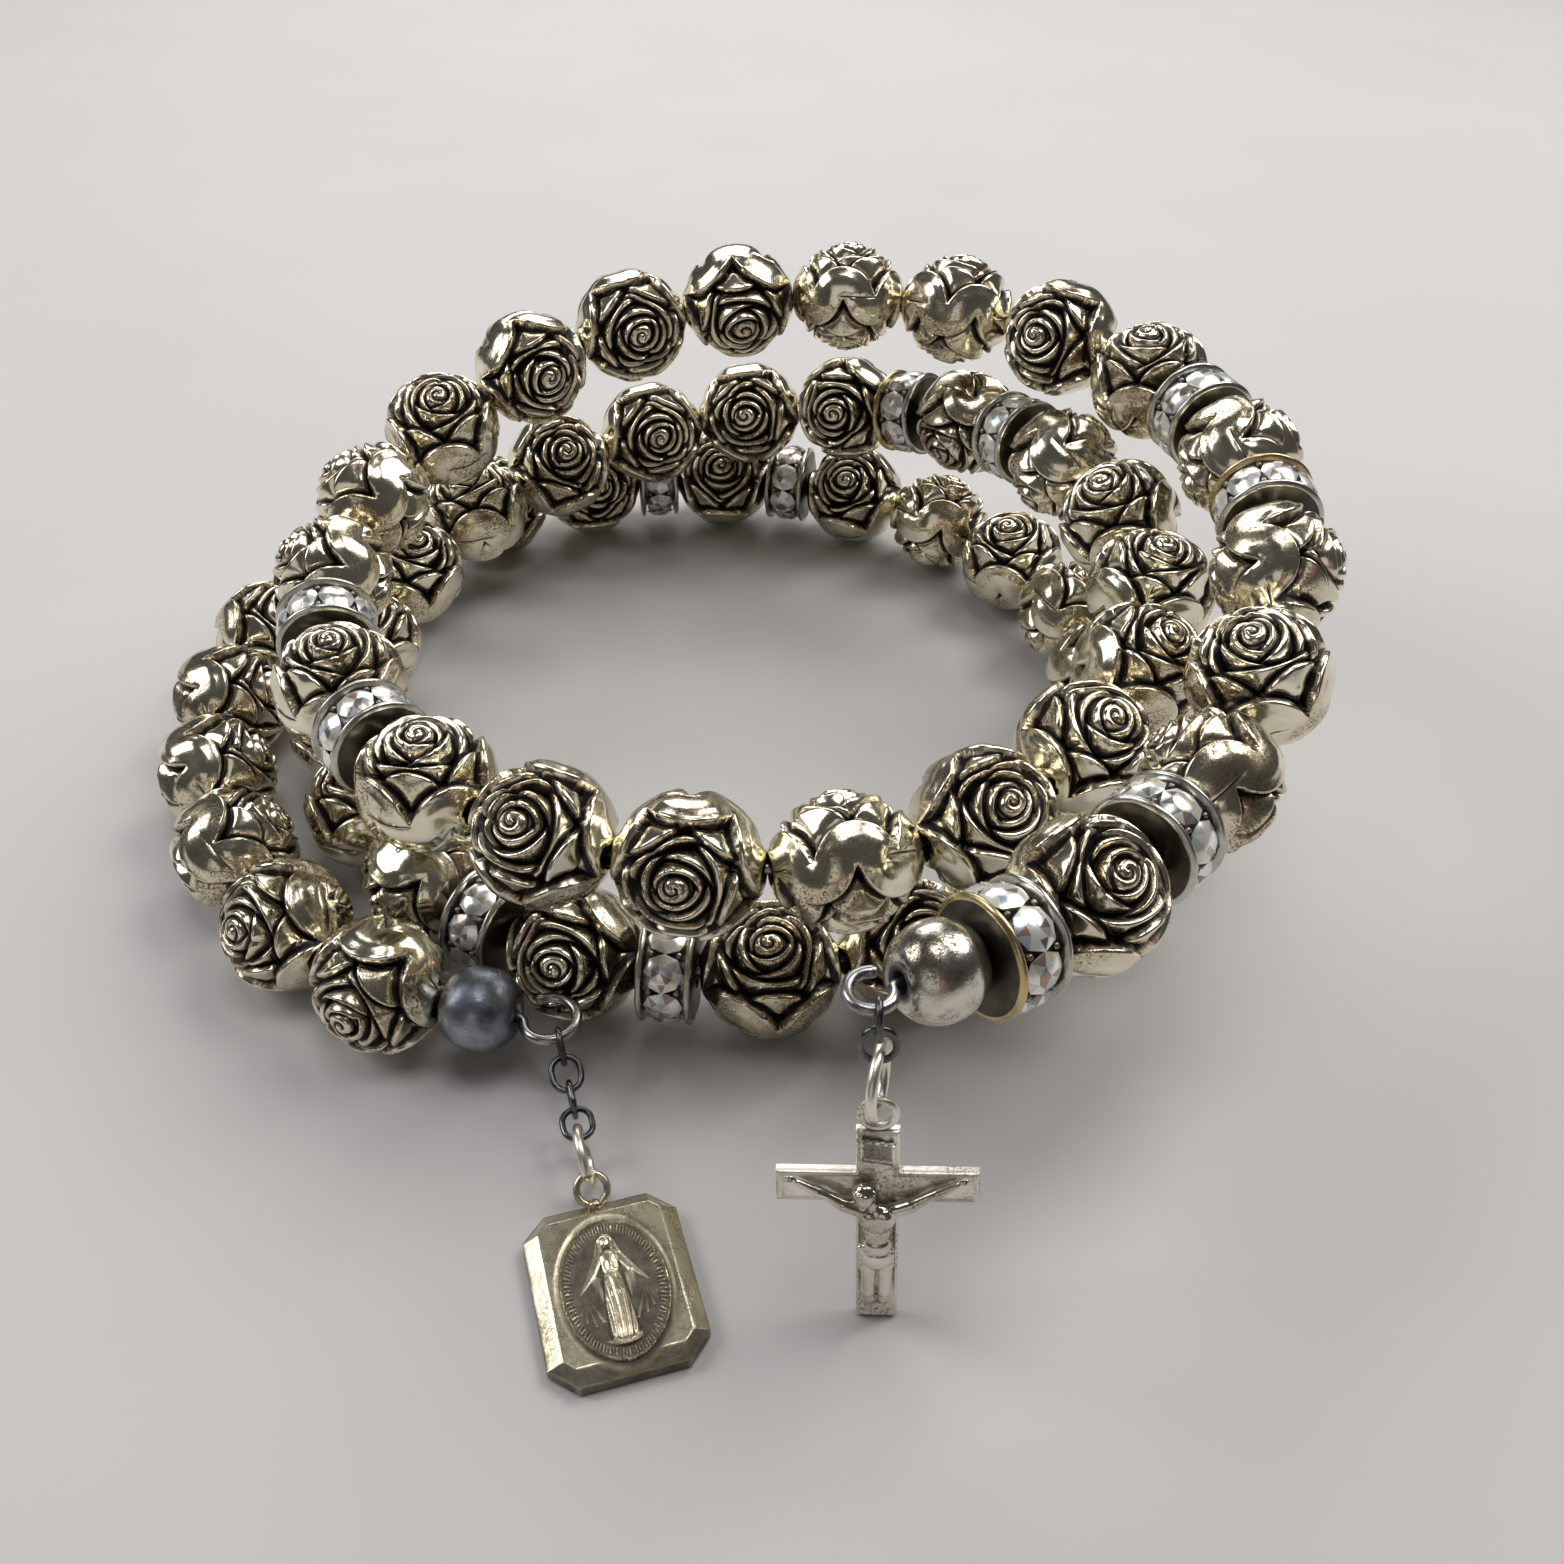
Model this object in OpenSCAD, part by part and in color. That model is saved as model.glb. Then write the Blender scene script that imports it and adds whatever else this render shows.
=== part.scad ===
// Rosary bracelet of rose beads strung on a coiled spring wire of nearly three turns, lying as it was put down.
// The coil rests on its lowest turn. One end of the wire carries a medal that lies flat in front of the coil, the
// raised end carries a crucifix that hangs from its loop and touches the ground with its foot.
// Millimetres, +Z up, the ground is z = 0, -Y is the side of the medal and the crucifix.

/* [Rose beads] */
// Diameter of a rose bead over its petals
rose_d = 8; // [6:0.5:10]
// Length a rose bead takes on the wire
rose_pitch = 8.14; // [8.14:0.02:10.2]
// Width of the grooves between petals
petal_gap = 0.3; // [0.2:0.05:0.5]
// Depth of the grooves between petals
petal_depth = 0.45; // [0.3:0.05:0.8]
// Diameter of the hole through each bead
bore_d = 1.7; // [1.4:0.1:2]

/* [Spacers and end beads] */
// Outer diameter of a stone-set spacer
spacer_d = 6.2; // [5:0.1:7]
// Length of a stone-set spacer between its outer faces
spacer_len = 3.2; // [2.5:0.1:4]
// Stones around a spacer
spacer_stones = 8; // [6:1:12]
// Diameter of a plain end bead
end_d = 4.8; // [4:0.1:6]
// Length of a plain end bead between its flat ends
end_len = 4.2; // [3:0.1:5]

/* [Wire] */
// Diameter of the spring wire
wire_d = 0.6; // [0.5:0.05:0.8]
// Outer diameter of the wire loop at the medal
medal_loop_d = 3.6; // [2.4:0.1:4]
// Outer diameter of the wire loop at the crucifix
cross_loop_d = 2.7; // [2.4:0.1:4]
// Compass angle of the medal end of the coil, degrees
start_angle = -110; // [-180:1:180]

/* [Chains] */
// Wire diameter of a chain link
link_wire = 0.34; // [0.25:0.02:0.5]
// Outer length of a chain link
link_len = 2.25; // [1.8:0.05:3]
// Outer width of a chain link
link_w = 1.9; // [1.6:0.05:2.4]
// Wire diameter of a jump ring
ring_wire = 0.5; // [0.3:0.05:0.7]
// Outer diameter of the jump ring at the medal
medal_ring_d = 3.5; // [3:0.1:4]
// Outer diameter of the jump ring at the crucifix
cross_ring_d = 3.8; // [3:0.1:4]
// Direction of the medal's chain and of the medal, degrees from straight ahead
medal_turn = 16.5; // [0:0.5:45]

/* [Medal] */
// Width of the medal
medal_w = 8; // [7:0.1:12]
// Height of the medal
medal_h = 9.9; // [8:0.1:14]
// Thickness of the medal
medal_t = 1.4; // [1:0.1:2.5]
// Length cut off each corner along a side
medal_cut = 1.3; // [1:0.1:2.5]
// Width of the sloping edge
medal_bevel = 0.7; // [0.4:0.1:1.2]
// Width of the raised oval
oval_w = 5.4; // [4:0.1:7]
// Height of the raised oval
oval_h = 8; // [6:0.1:10]

/* [Crucifix] */
// Width of the cross over its arms
cross_w = 9.4; // [7:0.1:12]
// Width of the stem of the cross
bar_w = 2; // [1.5:0.1:2.6]
// Height of the arms of the cross
arm_h = 1.85; // [1.3:0.05:2.2]
// Thickness of the bars of the cross
bar_t = 0.45; // [0.4:0.05:0.8]
// Distance from the top of the cross to the middle of its arms
arm_drop = 3.5; // [2.5:0.1:5]
// Place of the foot on the ground, sideways
foot_x = 10.9; // [8:0.1:14]
// Place of the foot on the ground, forwards
foot_y = -45.3; // [-50:0.1:-42]

/* [Hidden] */
$fn = 48;
gap = 0.05;                     // play between links
// Rest shape of the coil. Columns: angle along the coil in degrees, radius of the wire, height of the wire.
route = [
  [-15, 29.5, 4], [15, 32, 4], [45, 32, 4], [90, 32.5, 4], [135, 32, 4], [180, 31.5, 4], [225, 30, 4],
  [270, 28, 4], [315, 27, 4], [360, 25, 4], [405, 23.5, 4.5], [450, 24, 7], [495, 26.5, 9.5], [540, 29.5, 12.5],
  [585, 28, 16.5], [630, 30, 16], [675, 30, 14.5], [720, 26.5, 14.5], [765, 23.5, 14.5], [810, 22.5, 16.5],
  [855, 22, 21], [900, 25, 23.5], [945, 32, 23], [985, 36, 22], [1010, 38, 18], [1025, 39.5, 18],
  [1035, 41, 18], [1045, 42.5, 19]];
last = len(route) - 1;
// middle of the whole bracelet in the coil's own measure, so that the part is centred on its origin
middle = [1.01, -7.04, 0];

function seg(t) = max(0, min(last - 1, len([for (k = [0:last]) if (route[k][0] <= t) 1]) - 1));
function slope(i, c) = let (a = max(i - 1, 0), b = min(i + 1, last)) (route[b][c] - route[a][c]) / (route[b][0] - route[a][0]);
function smooth(t, c) = let (i = seg(t), h = route[i + 1][0] - route[i][0], u = (t - route[i][0]) / h)
  (2 * pow(u, 3) - 3 * u * u + 1) * route[i][c] + (pow(u, 3) - 2 * u * u + u) * h * slope(i, c)
  + (3 * u * u - 2 * pow(u, 3)) * route[i + 1][c] + (pow(u, 3) - u * u) * h * slope(i + 1, c);
// point of the wire at an angle along the coil
function at(t) = let (r = smooth(t, 1), a = start_angle - t) [r * cos(a), r * sin(a), max(rose_d / 2, smooth(t, 2))] - middle;
function unit(v) = v / norm(v);
function along(t) = unit(at(t + 0.5) - at(t - 0.5));
// length of wire against angle
turn_step = 1;
turn_end = 1050;
measured = [for (t = 0, s = 0; t <= turn_end; s = s + norm(at(t + turn_step) - at(t)), t = t + turn_step) [s, t]];

// order of the beads from the medal to the crucifix: r rose, d spacer, e end bead
ten = ["r", "r", "r", "r", "r", "r", "r", "r", "r", "r"];
big = ["d", "r", "d"];
order = concat(["e"], ten, big, ten, big, ten, big, ten, big, ten, big, ["r", "r", "r"], big, ["e"]);
function half(k) = k == "r" ? rose_pitch / 2 : k == "d" ? spacer_len / 2 + 0.05 : end_len / 2 + 0.05;
places = [for (i = 0, s = 0; i < len(order); s = s + half(order[i]) + (i + 1 < len(order) ? half(order[i + 1]) : 0), i = i + 1) s];
angles = [for (s = places) lookup(s, measured)];
n_beads = len(order);

// where the two faces of each rose look, degrees from outward to upward, in the order of the wire
face = concat(
  [8, 34, 152, 156, 160, 130, 120, 110, 130, 150],       // fifth decade
  [140], [130, 60, 100, 50, 60, 80, 50, 20, 40, 66],     // bead between, fourth decade
  [34], [152, 90, 70, 100, 110, 90, 140, 158, 162, 160], // bead between, third decade
  [30], [35, 125, 80, 60, 68, 48, 134, 18, 46, 92],      // bead between, second decade
  [92], [36, 44, 104, 174, 166, 10, 68, 66, 162, 105],   // bead between, first decade
  [30], [26, 98, 144], [52]);                            // bead between, three beads, last bead between
function rank(i) = len([for (k = [0:i]) if (order[k] == "r") 1]) - 1;

// ---- placing ----
// carries a child with its z along n and its x towards x
module frame(p, n, x) {
  y = unit(cross(n, x));
  u = cross(y, n);
  multmatrix([[u[0], y[0], n[0], p[0]], [u[1], y[1], n[1], p[1]], [u[2], y[2], n[2], p[2]]]) children();
}
// rose frame: z along the wire, x to the middle of a rose face
module bead_frame(i) {
  t = angles[i];
  n = along(t);
  out = unit([at(t)[0] + middle[0], at(t)[1] + middle[1], 0]);
  side = unit(out - (out * n) * n);
  up = [0, 0, 1] - n[2] * n;
  f = order[i] == "r" ? face[rank(i)] : 0;
  frame(at(t), n, cos(f) * side + sin(f) * unit(up)) children();
}

// ---- beads ----
// grooves that divide one rose face into a bud and two rounds of petals
module petals() {
  r = rose_d / 2;
  difference() {
    translate([0, 0, r * 0.93 - petal_depth]) cylinder(h = 2, r = r * 0.24 + petal_gap);
    translate([0, 0, r * 0.93 - petal_depth - 1]) cylinder(h = 4, r = r * 0.24);
  }
  for (k = [0:1]) rotate([0, 0, 36 * k]) difference() {
    translate([0, 0, r * (0.84 - 0.27 * k) - petal_depth]) cylinder(h = 3, r = r * (0.55 + 0.25 * k) + petal_gap, $fn = 5);
    translate([0, 0, r * (0.84 - 0.27 * k) - petal_depth - 1]) cylinder(h = 5, r = r * (0.55 + 0.25 * k), $fn = 5);
  }
}
module rose_cuts(i) {
  bead_frame(i) {
    rotate([0, 90, 0]) petals();
    rotate([0, -90, 0]) petals();
  }
}
module bore(i, l) { bead_frame(i) rotate([0, 0, 50]) translate([0, 0, -l / 2]) cylinder(h = l, d = bore_d); }
module ball(i) { bead_frame(i) rotate([0, 0, 17]) sphere(d = rose_d); }
module rose(i) {
  color([0.78, 0.74, 0.66]) difference() {
    ball(i);
    rose_cuts(i);
    bore(i, rose_d + 1);
  }
}
// where the threads of two neighbours meet
function meet(i) = (at(angles[i]) + along(angles[i]) * rose_pitch / 2 + at(angles[i + 1]) - along(angles[i + 1]) * rose_pitch / 2) / 2;
module sleeve(i, l, d, seam) {
  frame(meet(i), unit(at(angles[i + 1]) - at(angles[i])), [0, 0, 1]) rotate([0, 0, seam]) translate([0, 0, -l / 2]) cylinder(h = l, d = d);
}
// ten roses joined along their thread by short sleeves
module decade(first) {
  color([0.78, 0.74, 0.66]) difference() {
    union() {
      for (i = [first:first + 9]) difference() { ball(i); rose_cuts(i); }
      for (i = [first:first + 8]) sleeve(i, 1.8, bore_d + 1.1, 70);
    }
    for (i = [first:first + 9]) bore(i, i == first || i == first + 9 ? rose_pitch + 0.3 : rose_pitch - 0.3);
    for (i = [first:first + 8]) sleeve(i, 1.2, bore_d + 0.25, 20);
  }
}
// two rims with a ring of stones between them
module spacer(i) {
  rim = 0.55;
  color([0.8, 0.8, 0.82]) difference() {
    bead_frame(i) {
      for (s = [-1, 1]) translate([0, 0, s * (spacer_len - rim) / 2]) cylinder(h = rim, d = spacer_d, center = true);
      cylinder(h = spacer_len - rim, d = spacer_d * 0.72, center = true);
      for (k = [0:spacer_stones - 1]) rotate([0, 0, 360 / spacer_stones * k]) rotate([0, 90, 0])
        translate([0, 0, spacer_d * 0.3]) cylinder(h = spacer_d * 0.18, r1 = 0.95, r2 = 0.55, $fn = 24);
    }
    bore(i, spacer_len + 1);
  }
}
module end_bead(i, tint) {
  color(tint) difference() {
    bead_frame(i) intersection() {
      sphere(d = end_d);
      cube([end_d + 1, end_d + 1, end_len], center = true);
    }
    bore(i, end_len + 1);
  }
}

// ---- wire ----
w_r = wire_d / 2;
// a loop lies level beyond its bead: middle of the loop, and the wire around it
start_dir = -along(0);
start_mid = at(0) + (end_len / 2 + 0.1 + medal_loop_d / 2) * unit([start_dir[0], start_dir[1], 0]);
end_t = angles[n_beads - 1];
end_dir = along(end_t);
end_mid = at(end_t) + (end_len / 2 + 0.1 + cross_loop_d / 2) * end_dir;
function eye(c, d, r, up) = let (h = unit([d[0], d[1], 0]), v = cross([0, 0, 1], h))
  [for (k = [0:15]) let (a = 180 + k * 21) c + r * cos(a) * h + up * r * sin(a) * v + [0, 0, wire_d * 1.05 * (k - 7.5) / 15 * 0.5]];
path = concat(
  [for (q = [15:-1:0]) eye(start_mid, start_dir, medal_loop_d / 2 - w_r, 1)[q]],
  [for (s = [0.3:3:places[n_beads - 1] + 0.1]) at(lookup(s, measured))],
  [at(end_t)],
  [for (q = [0:15]) eye(end_mid, end_dir, cross_loop_d / 2 - w_r, -1)[q]]);
module memory_wire() {
  m = len(path);
  sides = 8;
  dir = [for (i = [0:m - 1]) unit(path[min(i + 1, m - 1)] - path[max(i - 1, 0)])];
  ring = [for (i = [0:m - 1]) let (n = dir[i], x = unit([0, 0, 1] - n[2] * n), y = cross(n, x))
    for (k = [0:sides - 1]) path[i] + w_r * (cos(360 / sides * k) * x + sin(360 / sides * k) * y)];
  sheet = [for (i = [0:m - 2]) for (k = [0:sides - 1]) let (a = i * sides + k, b = i * sides + (k + 1) % sides) [a, a + sides, b + sides, b]];
  caps = [[for (k = [0:sides - 1]) k], [for (k = [0:sides - 1]) m * sides - 1 - k]];
  color([0.55, 0.56, 0.58]) polyhedron(points = ring, faces = concat(sheet, caps), convexity = 20);
}

// ---- links ----
// oval ring of wire w, along z and x, between the outer ends of length l and the sides of width b
module oval(l, b, w) {
  q = (b - w) / 2;
  s = l - b;
  for (k = [0, 1]) rotate([0, 180 * k, 0]) translate([0, 0, s / 2]) rotate([90, 0, 0])
    rotate_extrude(angle = 180) translate([q, 0]) circle(d = w, $fn = 24);
  if (s > 0.01) for (k = [-1, 1]) translate([k * q, 0, -s / 2]) cylinder(h = s, d = w, $fn = 24);
}
// a link from the place where it takes hold, a, to the place where the next one does, b
module link_at(a, b, w, l, wide, roll, tint) {
  n = unit(b - a);
  side = abs(n[2]) > 0.9 ? [1, 0, 0] : [0, 0, 1];
  color(tint) frame((a + b) / 2, n, side) rotate([0, 0, roll]) oval(l, wide, w);
}
function reach(l, w) = l - 2 * w - gap;
dark = [0.25, 0.25, 0.27];
silver = [0.8, 0.8, 0.8];

// medal chain: heights of the places where the links hold one another
hold_z = [4, 3.2, 2.6, 2.2, 2.1, 1.5];
hold_l = [reach(link_len, link_wire), reach(link_len, link_wire), reach(link_len, link_wire), reach(link_len, link_wire), reach(medal_ring_d, ring_wire)];
ahead = [sin(medal_turn), -cos(medal_turn), 0];
hold_0 = start_mid + (medal_loop_d / 2 - 2 * w_r - gap / 2) * [sin(28), -cos(28), 0];
function step(k) = sqrt(pow(hold_l[k], 2) - pow(hold_z[k + 1] - hold_z[k], 2));
function run(k) = k == 0 ? 0 : run(k - 1) + step(k - 1);
hold = [for (k = [0:5]) [hold_0[0], hold_0[1], 0] + run(k) * ahead + [0, 0, hold_z[k]]];

// medal: bail leans up from the top edge
bail_r = 0.8;                  // to the middle of its wire
bail_wire = 0.4;
bail_in = 2 * bail_r - bail_wire / 2 - gap / 2;
bail_lean = asin((hold_z[5] - medal_t / 2) / bail_in);
medal_top = [hold[5][0], hold[5][1], medal_t / 2] + ahead * (bail_in * cos(bail_lean));
medal_mid = [medal_top[0], medal_top[1], 0] + ahead * medal_h / 2;
function oval_edge(w, h) = [for (k = [0:47]) [w / 2 * cos(7.5 * k), h / 2 * sin(7.5 * k)]];
module oval_band(w, h, b, t) {
  linear_extrude(height = t) difference() { polygon(oval_edge(w, h)); polygon(oval_edge(w - 2 * b, h - 2 * b)); }
}
module medal() {
  w = medal_w / 2; h = medal_h / 2; c = medal_cut; t = medal_t;
  color([0.62, 0.6, 0.55]) {
    translate(medal_mid) rotate([0, 0, medal_turn]) {
      difference() {
        linear_extrude(height = t - 0.25) polygon([[w, h - c], [w - c, h], [c - w, h], [-w, h - c], [-w, c - h], [c - w, -h], [w - c, -h], [w, c - h]]);
        // sloping edge, sides then corners
        for (k = [0:3]) rotate([0, 0, 90 * k]) translate([0, (k % 2 == 0 ? h : w) - medal_bevel, t - 0.25])
          rotate([-35, 0, 0]) translate([-medal_h, 0, 0]) cube([2 * medal_h, 3, 3]);
        for (sx = [-1, 1]) for (sy = [-1, 1]) translate([sx * (w - c / 2), sy * (h - c / 2), t - 0.25]) rotate([0, 0, sx * sy > 0 ? (sx > 0 ? -45 : 135) : (sx > 0 ? -135 : 45)])
          translate([0, -medal_bevel * 0.9, 0]) rotate([-35, 0, 0]) translate([-4, 0, 0]) cube([8, 3, 3]);
        // shallow bed of the oval
        translate([0, -0.35, t - 0.4]) linear_extrude(height = 1) polygon(oval_edge(oval_w, oval_h));
      }
      translate([0, -0.35, t - 0.47]) {
        oval_band(oval_w + 0.1, oval_h + 0.1, 0.28, 0.42);
        oval_band(oval_w - 1.3, oval_h - 1.3, 0.16, 0.3);
        figure();
      }
    }
    // bail
    frame(medal_top - ahead * (bail_r * cos(bail_lean)) + [0, 0, bail_r * sin(bail_lean)],
      unit(-ahead * cos(bail_lean) + [0, 0, sin(bail_lean)]), cross(ahead, [0, 0, 1]))
      rotate([90, 0, 0]) rotate_extrude() translate([bail_r, 0]) circle(d = bail_wire, $fn = 24);
    frame(medal_top, -ahead, [0, 0, 1]) translate([0, 0, -0.35]) cylinder(h = 0.5, d = 0.8, $fn = 24);
  }
}
// generic robed figure in low relief, standing on a globe, light falling from its open hands
module figure() {
  translate([0, -2.9, 0.02]) rotate([-90, 0, 0]) cylinder(h = 4.75, r1 = 0.95, r2 = 0.42, $fn = 24);
  for (s = [-1, 1]) {
    translate([s * 0.3, 1.6, 0.1]) rotate([90, 0, s * 40]) cylinder(h = 1.7, r1 = 0.36, r2 = 0.2, $fn = 24);
    translate([s * 1.39, 0.3, 0.1]) sphere(r = 0.27);
  }
  translate([0, 2.2, 0.07]) sphere(r = 0.5);
  translate([0, -2.85, -0.7]) intersection() {
    sphere(r = 1.25);
    translate([-2, -0.62, 0]) cube([4, 3, 3]);
  }
}

// crucifix chain hangs in one line from the loop to the foot
hang_0 = end_mid + (cross_loop_d / 2 - w_r) * [sin(18), -cos(18), 0] - [0, 0, 0.15];
foot = [foot_x, foot_y, bar_t * 0.09 + bar_w * 0.03] - [middle[0], middle[1], 0];
fall = unit(foot - hang_0);
hang_1 = hang_0 - (w_r + gap / 2) * fall;
hang_2 = hang_1 + reach(link_len, link_wire) * fall;
hang_3 = hang_2 + reach(link_len - 0.1, link_wire) * fall;
hang_4 = hang_3 + reach(cross_ring_d, ring_wire) * fall;
bail_mid = hang_4 + (bail_r - bail_wire / 2 - gap / 2) * fall;
cross_top = bail_r + 0.1;
cross_h = norm(foot - bail_mid) - cross_top;      // the cross reaches the ground
module crucifix() {
  color([0.78, 0.77, 0.74]) frame(bail_mid, fall, [-1, 0.045, 0]) {
    // x across, y towards the back, z down the stem
    rotate([90, 0, 0]) rotate_extrude() translate([bail_r, 0]) circle(d = bail_wire, $fn = 24);
    translate([-0.4, -0.19, bail_r - 0.15]) cube([0.8, 0.38, 0.5]);
    translate([0, 0, cross_top]) {
      translate([-bar_w / 2, -bar_t / 2, 0]) cube([bar_w, bar_t, cross_h]);
      translate([-cross_w / 2, -bar_t / 2, arm_drop - arm_h / 2]) cube([cross_w, bar_t, arm_h]);
      // bare scroll above the arms
      translate([-0.82, -bar_t / 2 - 0.16, 0.55]) cube([1.64, 0.3, 1.35]);
      corpus(-bar_t / 2);
    }
  }
}
module limb(a, b, r1, r2) { frame(a, unit(b - a), [0, 1, 0.01]) cylinder(h = norm(b - a), r1 = r1, r2 = r2, $fn = 16); }
// generic figure on the cross, front of the cross at y = f
module corpus(f) {
  a = arm_drop;
  b = cross_h - 0.7;
  knee = (a + 4.1 + b) / 2;
  translate([0.6, f - 0.62, a + 0.1]) sphere(r = 0.6, $fn = 32);
  limb([0.1, f - 0.52, a + 0.9], [0, f - 0.45, a + 3.8], 0.74, 0.6);
  translate([0, f - 0.45, a + 4.1]) sphere(r = 0.8, $fn = 32);
  for (s = [-1, 1]) {
    translate([s * 0.85, f - 0.36, a + 1.0]) sphere(r = 0.43, $fn = 32);
    limb([s * 0.85, f - 0.36, a + 1.0], [s * 2.4, f - 0.27, a + 0.25], 0.35, 0.27);
    translate([s * 2.4, f - 0.27, a + 0.25]) sphere(r = 0.32, $fn = 32);
    limb([s * 2.4, f - 0.27, a + 0.25], [s * 3.95, f - 0.18, a - 0.6], 0.27, 0.19);
    translate([s * 3.95, f - 0.18, a - 0.6]) sphere(r = 0.29, $fn = 32);
    limb([s * 0.34, f - 0.38, a + 4.1], [s * 0.34, f - 0.52, knee], 0.46, 0.32);
    translate([s * 0.34, f - 0.52, knee]) sphere(r = 0.36, $fn = 32);
    limb([s * 0.34, f - 0.52, knee], [s * 0.16, f - 0.3, b], 0.3, 0.2);
  }
  translate([0, f - 0.25, b + 0.05]) sphere(r = 0.38, $fn = 32);
}

memory_wire();
end_bead(0, [0.42, 0.46, 0.52]);  // end_bead_medal
end_bead(72, [0.82, 0.82, 0.82]);  // end_bead_cross
decade(1);  // decade_5
decade(14);  // decade_4
decade(27);  // decade_3
spacer(11);  // spacer_12
rose(12);  // bead_5
spacer(13);  // spacer_11
spacer(24);  // spacer_10
rose(25);  // bead_4
spacer(26);  // spacer_09
spacer(37);  // spacer_08
rose(38);  // bead_3
spacer(39);  // spacer_07
rose(40);  // rose_26
rose(41);  // rose_25
rose(42);  // rose_24
rose(43);  // rose_23
rose(44);  // rose_22
rose(45);  // rose_21
rose(46);  // rose_20
rose(47);  // rose_19
rose(48);  // rose_18
rose(49);  // rose_17
spacer(50);  // spacer_06
rose(51);  // bead_2
spacer(52);  // spacer_05
rose(53);  // rose_15
rose(54);  // rose_14
rose(55);  // rose_13
rose(56);  // rose_12
rose(57);  // rose_11
rose(58);  // rose_10
rose(59);  // rose_09
rose(60);  // rose_08
rose(61);  // rose_07
rose(62);  // rose_06
spacer(63);  // spacer_04
rose(64);  // bead_1
spacer(65);  // spacer_03
rose(66);  // rose_04
rose(67);  // rose_03
rose(68);  // rose_02
spacer(69);  // spacer_02
rose(70);  // bead_0
spacer(71);  // spacer_01
link_at(hold[0], hold[1], link_wire, link_len, link_w, 0, dark);  // medal_link_1
link_at(hold[1], hold[2], link_wire, link_len, link_w, 90, dark);  // medal_link_2
link_at(hold[2], hold[3], link_wire, link_len, link_w, 0, dark);  // medal_link_3
link_at(hold[3], hold[4], link_wire, link_len, link_w, 90, dark);  // medal_link_4
link_at(hold[4], hold[5], ring_wire, medal_ring_d, medal_ring_d, 8, silver);  // medal_ring
medal();
link_at(hang_1, hang_2, link_wire, link_len, link_w, 90, dark);  // cross_link_1
link_at(hang_2, hang_3, link_wire, link_len - 0.1, link_w, 0, dark);  // cross_link_2
link_at(hang_3, hang_4, ring_wire, cross_ring_d, cross_ring_d, 105, silver);  // cross_ring
crucifix();
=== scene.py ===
import bpy
import bmesh
import math
import random
import numpy as np
from mathutils import Matrix, Vector


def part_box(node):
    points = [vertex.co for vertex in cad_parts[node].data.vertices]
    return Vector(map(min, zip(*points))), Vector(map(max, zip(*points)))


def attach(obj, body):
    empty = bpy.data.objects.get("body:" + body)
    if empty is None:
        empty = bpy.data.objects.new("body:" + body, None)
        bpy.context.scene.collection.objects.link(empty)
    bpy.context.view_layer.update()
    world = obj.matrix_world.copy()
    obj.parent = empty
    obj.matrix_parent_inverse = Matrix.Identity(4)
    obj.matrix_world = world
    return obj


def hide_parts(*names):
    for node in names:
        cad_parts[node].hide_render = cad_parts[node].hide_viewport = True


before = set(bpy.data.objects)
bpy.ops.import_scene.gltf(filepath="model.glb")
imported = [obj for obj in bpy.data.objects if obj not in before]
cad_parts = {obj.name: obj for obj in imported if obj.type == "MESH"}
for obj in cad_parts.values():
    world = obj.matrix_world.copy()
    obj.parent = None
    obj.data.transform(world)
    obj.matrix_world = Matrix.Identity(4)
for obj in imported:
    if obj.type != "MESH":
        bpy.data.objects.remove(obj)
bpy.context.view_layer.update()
MM = 0.001
RAD = math.pi / 180

# ---------------------------------------------------------------- sizes, the same as the part's (mm)
ROSE_PITCH, SPACER_LEN, SPACER_D, END_LEN, END_D = 8.14, 3.2, 6.2, 4.2, 4.8
WIRE_D, MEDAL_LOOP_D, CROSS_LOOP_D, START_ANGLE = 0.6, 3.6, 2.7, -110.0
LINK_WIRE, LINK_LEN, LINK_W, RING_WIRE, MEDAL_RING_D, CROSS_RING_D, MEDAL_TURN = 0.34, 2.25, 1.9, 0.5, 3.5, 3.8, 16.5
MEDAL_W, MEDAL_H, MEDAL_T, MEDAL_CUT = 8.0, 9.9, 1.4, 1.3
OVAL_W, OVAL_H, OVAL_DROP = 5.4, 8.0, -0.35
CROSS_W, BAR_W, ARM_H, BAR_T, ARM_DROP, FOOT = 9.4, 2.0, 1.85, 0.45, 3.5, (10.9, -45.3)
GAP, BAIL_R, BAIL_WIRE = 0.05, 0.8, 0.4
MIDDLE = np.array([1.01, -7.04, 0.0])
# columns: angle along the coil, radius of the wire, height of the wire
ROUTE = np.array([
    (-15, 29.5, 4), (15, 32, 4), (45, 32, 4), (90, 32.5, 4), (135, 32, 4), (180, 31.5, 4), (225, 30, 4),
    (270, 28, 4), (315, 27, 4), (360, 25, 4), (405, 23.5, 4.5), (450, 24, 7), (495, 26.5, 9.5), (540, 29.5, 12.5),
    (585, 28, 16.5), (630, 30, 16), (675, 30, 14.5), (720, 26.5, 14.5), (765, 23.5, 14.5), (810, 22.5, 16.5),
    (855, 22, 21), (900, 25, 23.5), (945, 32, 23), (985, 36, 22), (1010, 38, 18), (1025, 39.5, 18),
    (1035, 41, 18), (1045, 42.5, 19)], float)


def unit(v):
    v = np.asarray(v, float)
    return v / np.linalg.norm(v)


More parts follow.
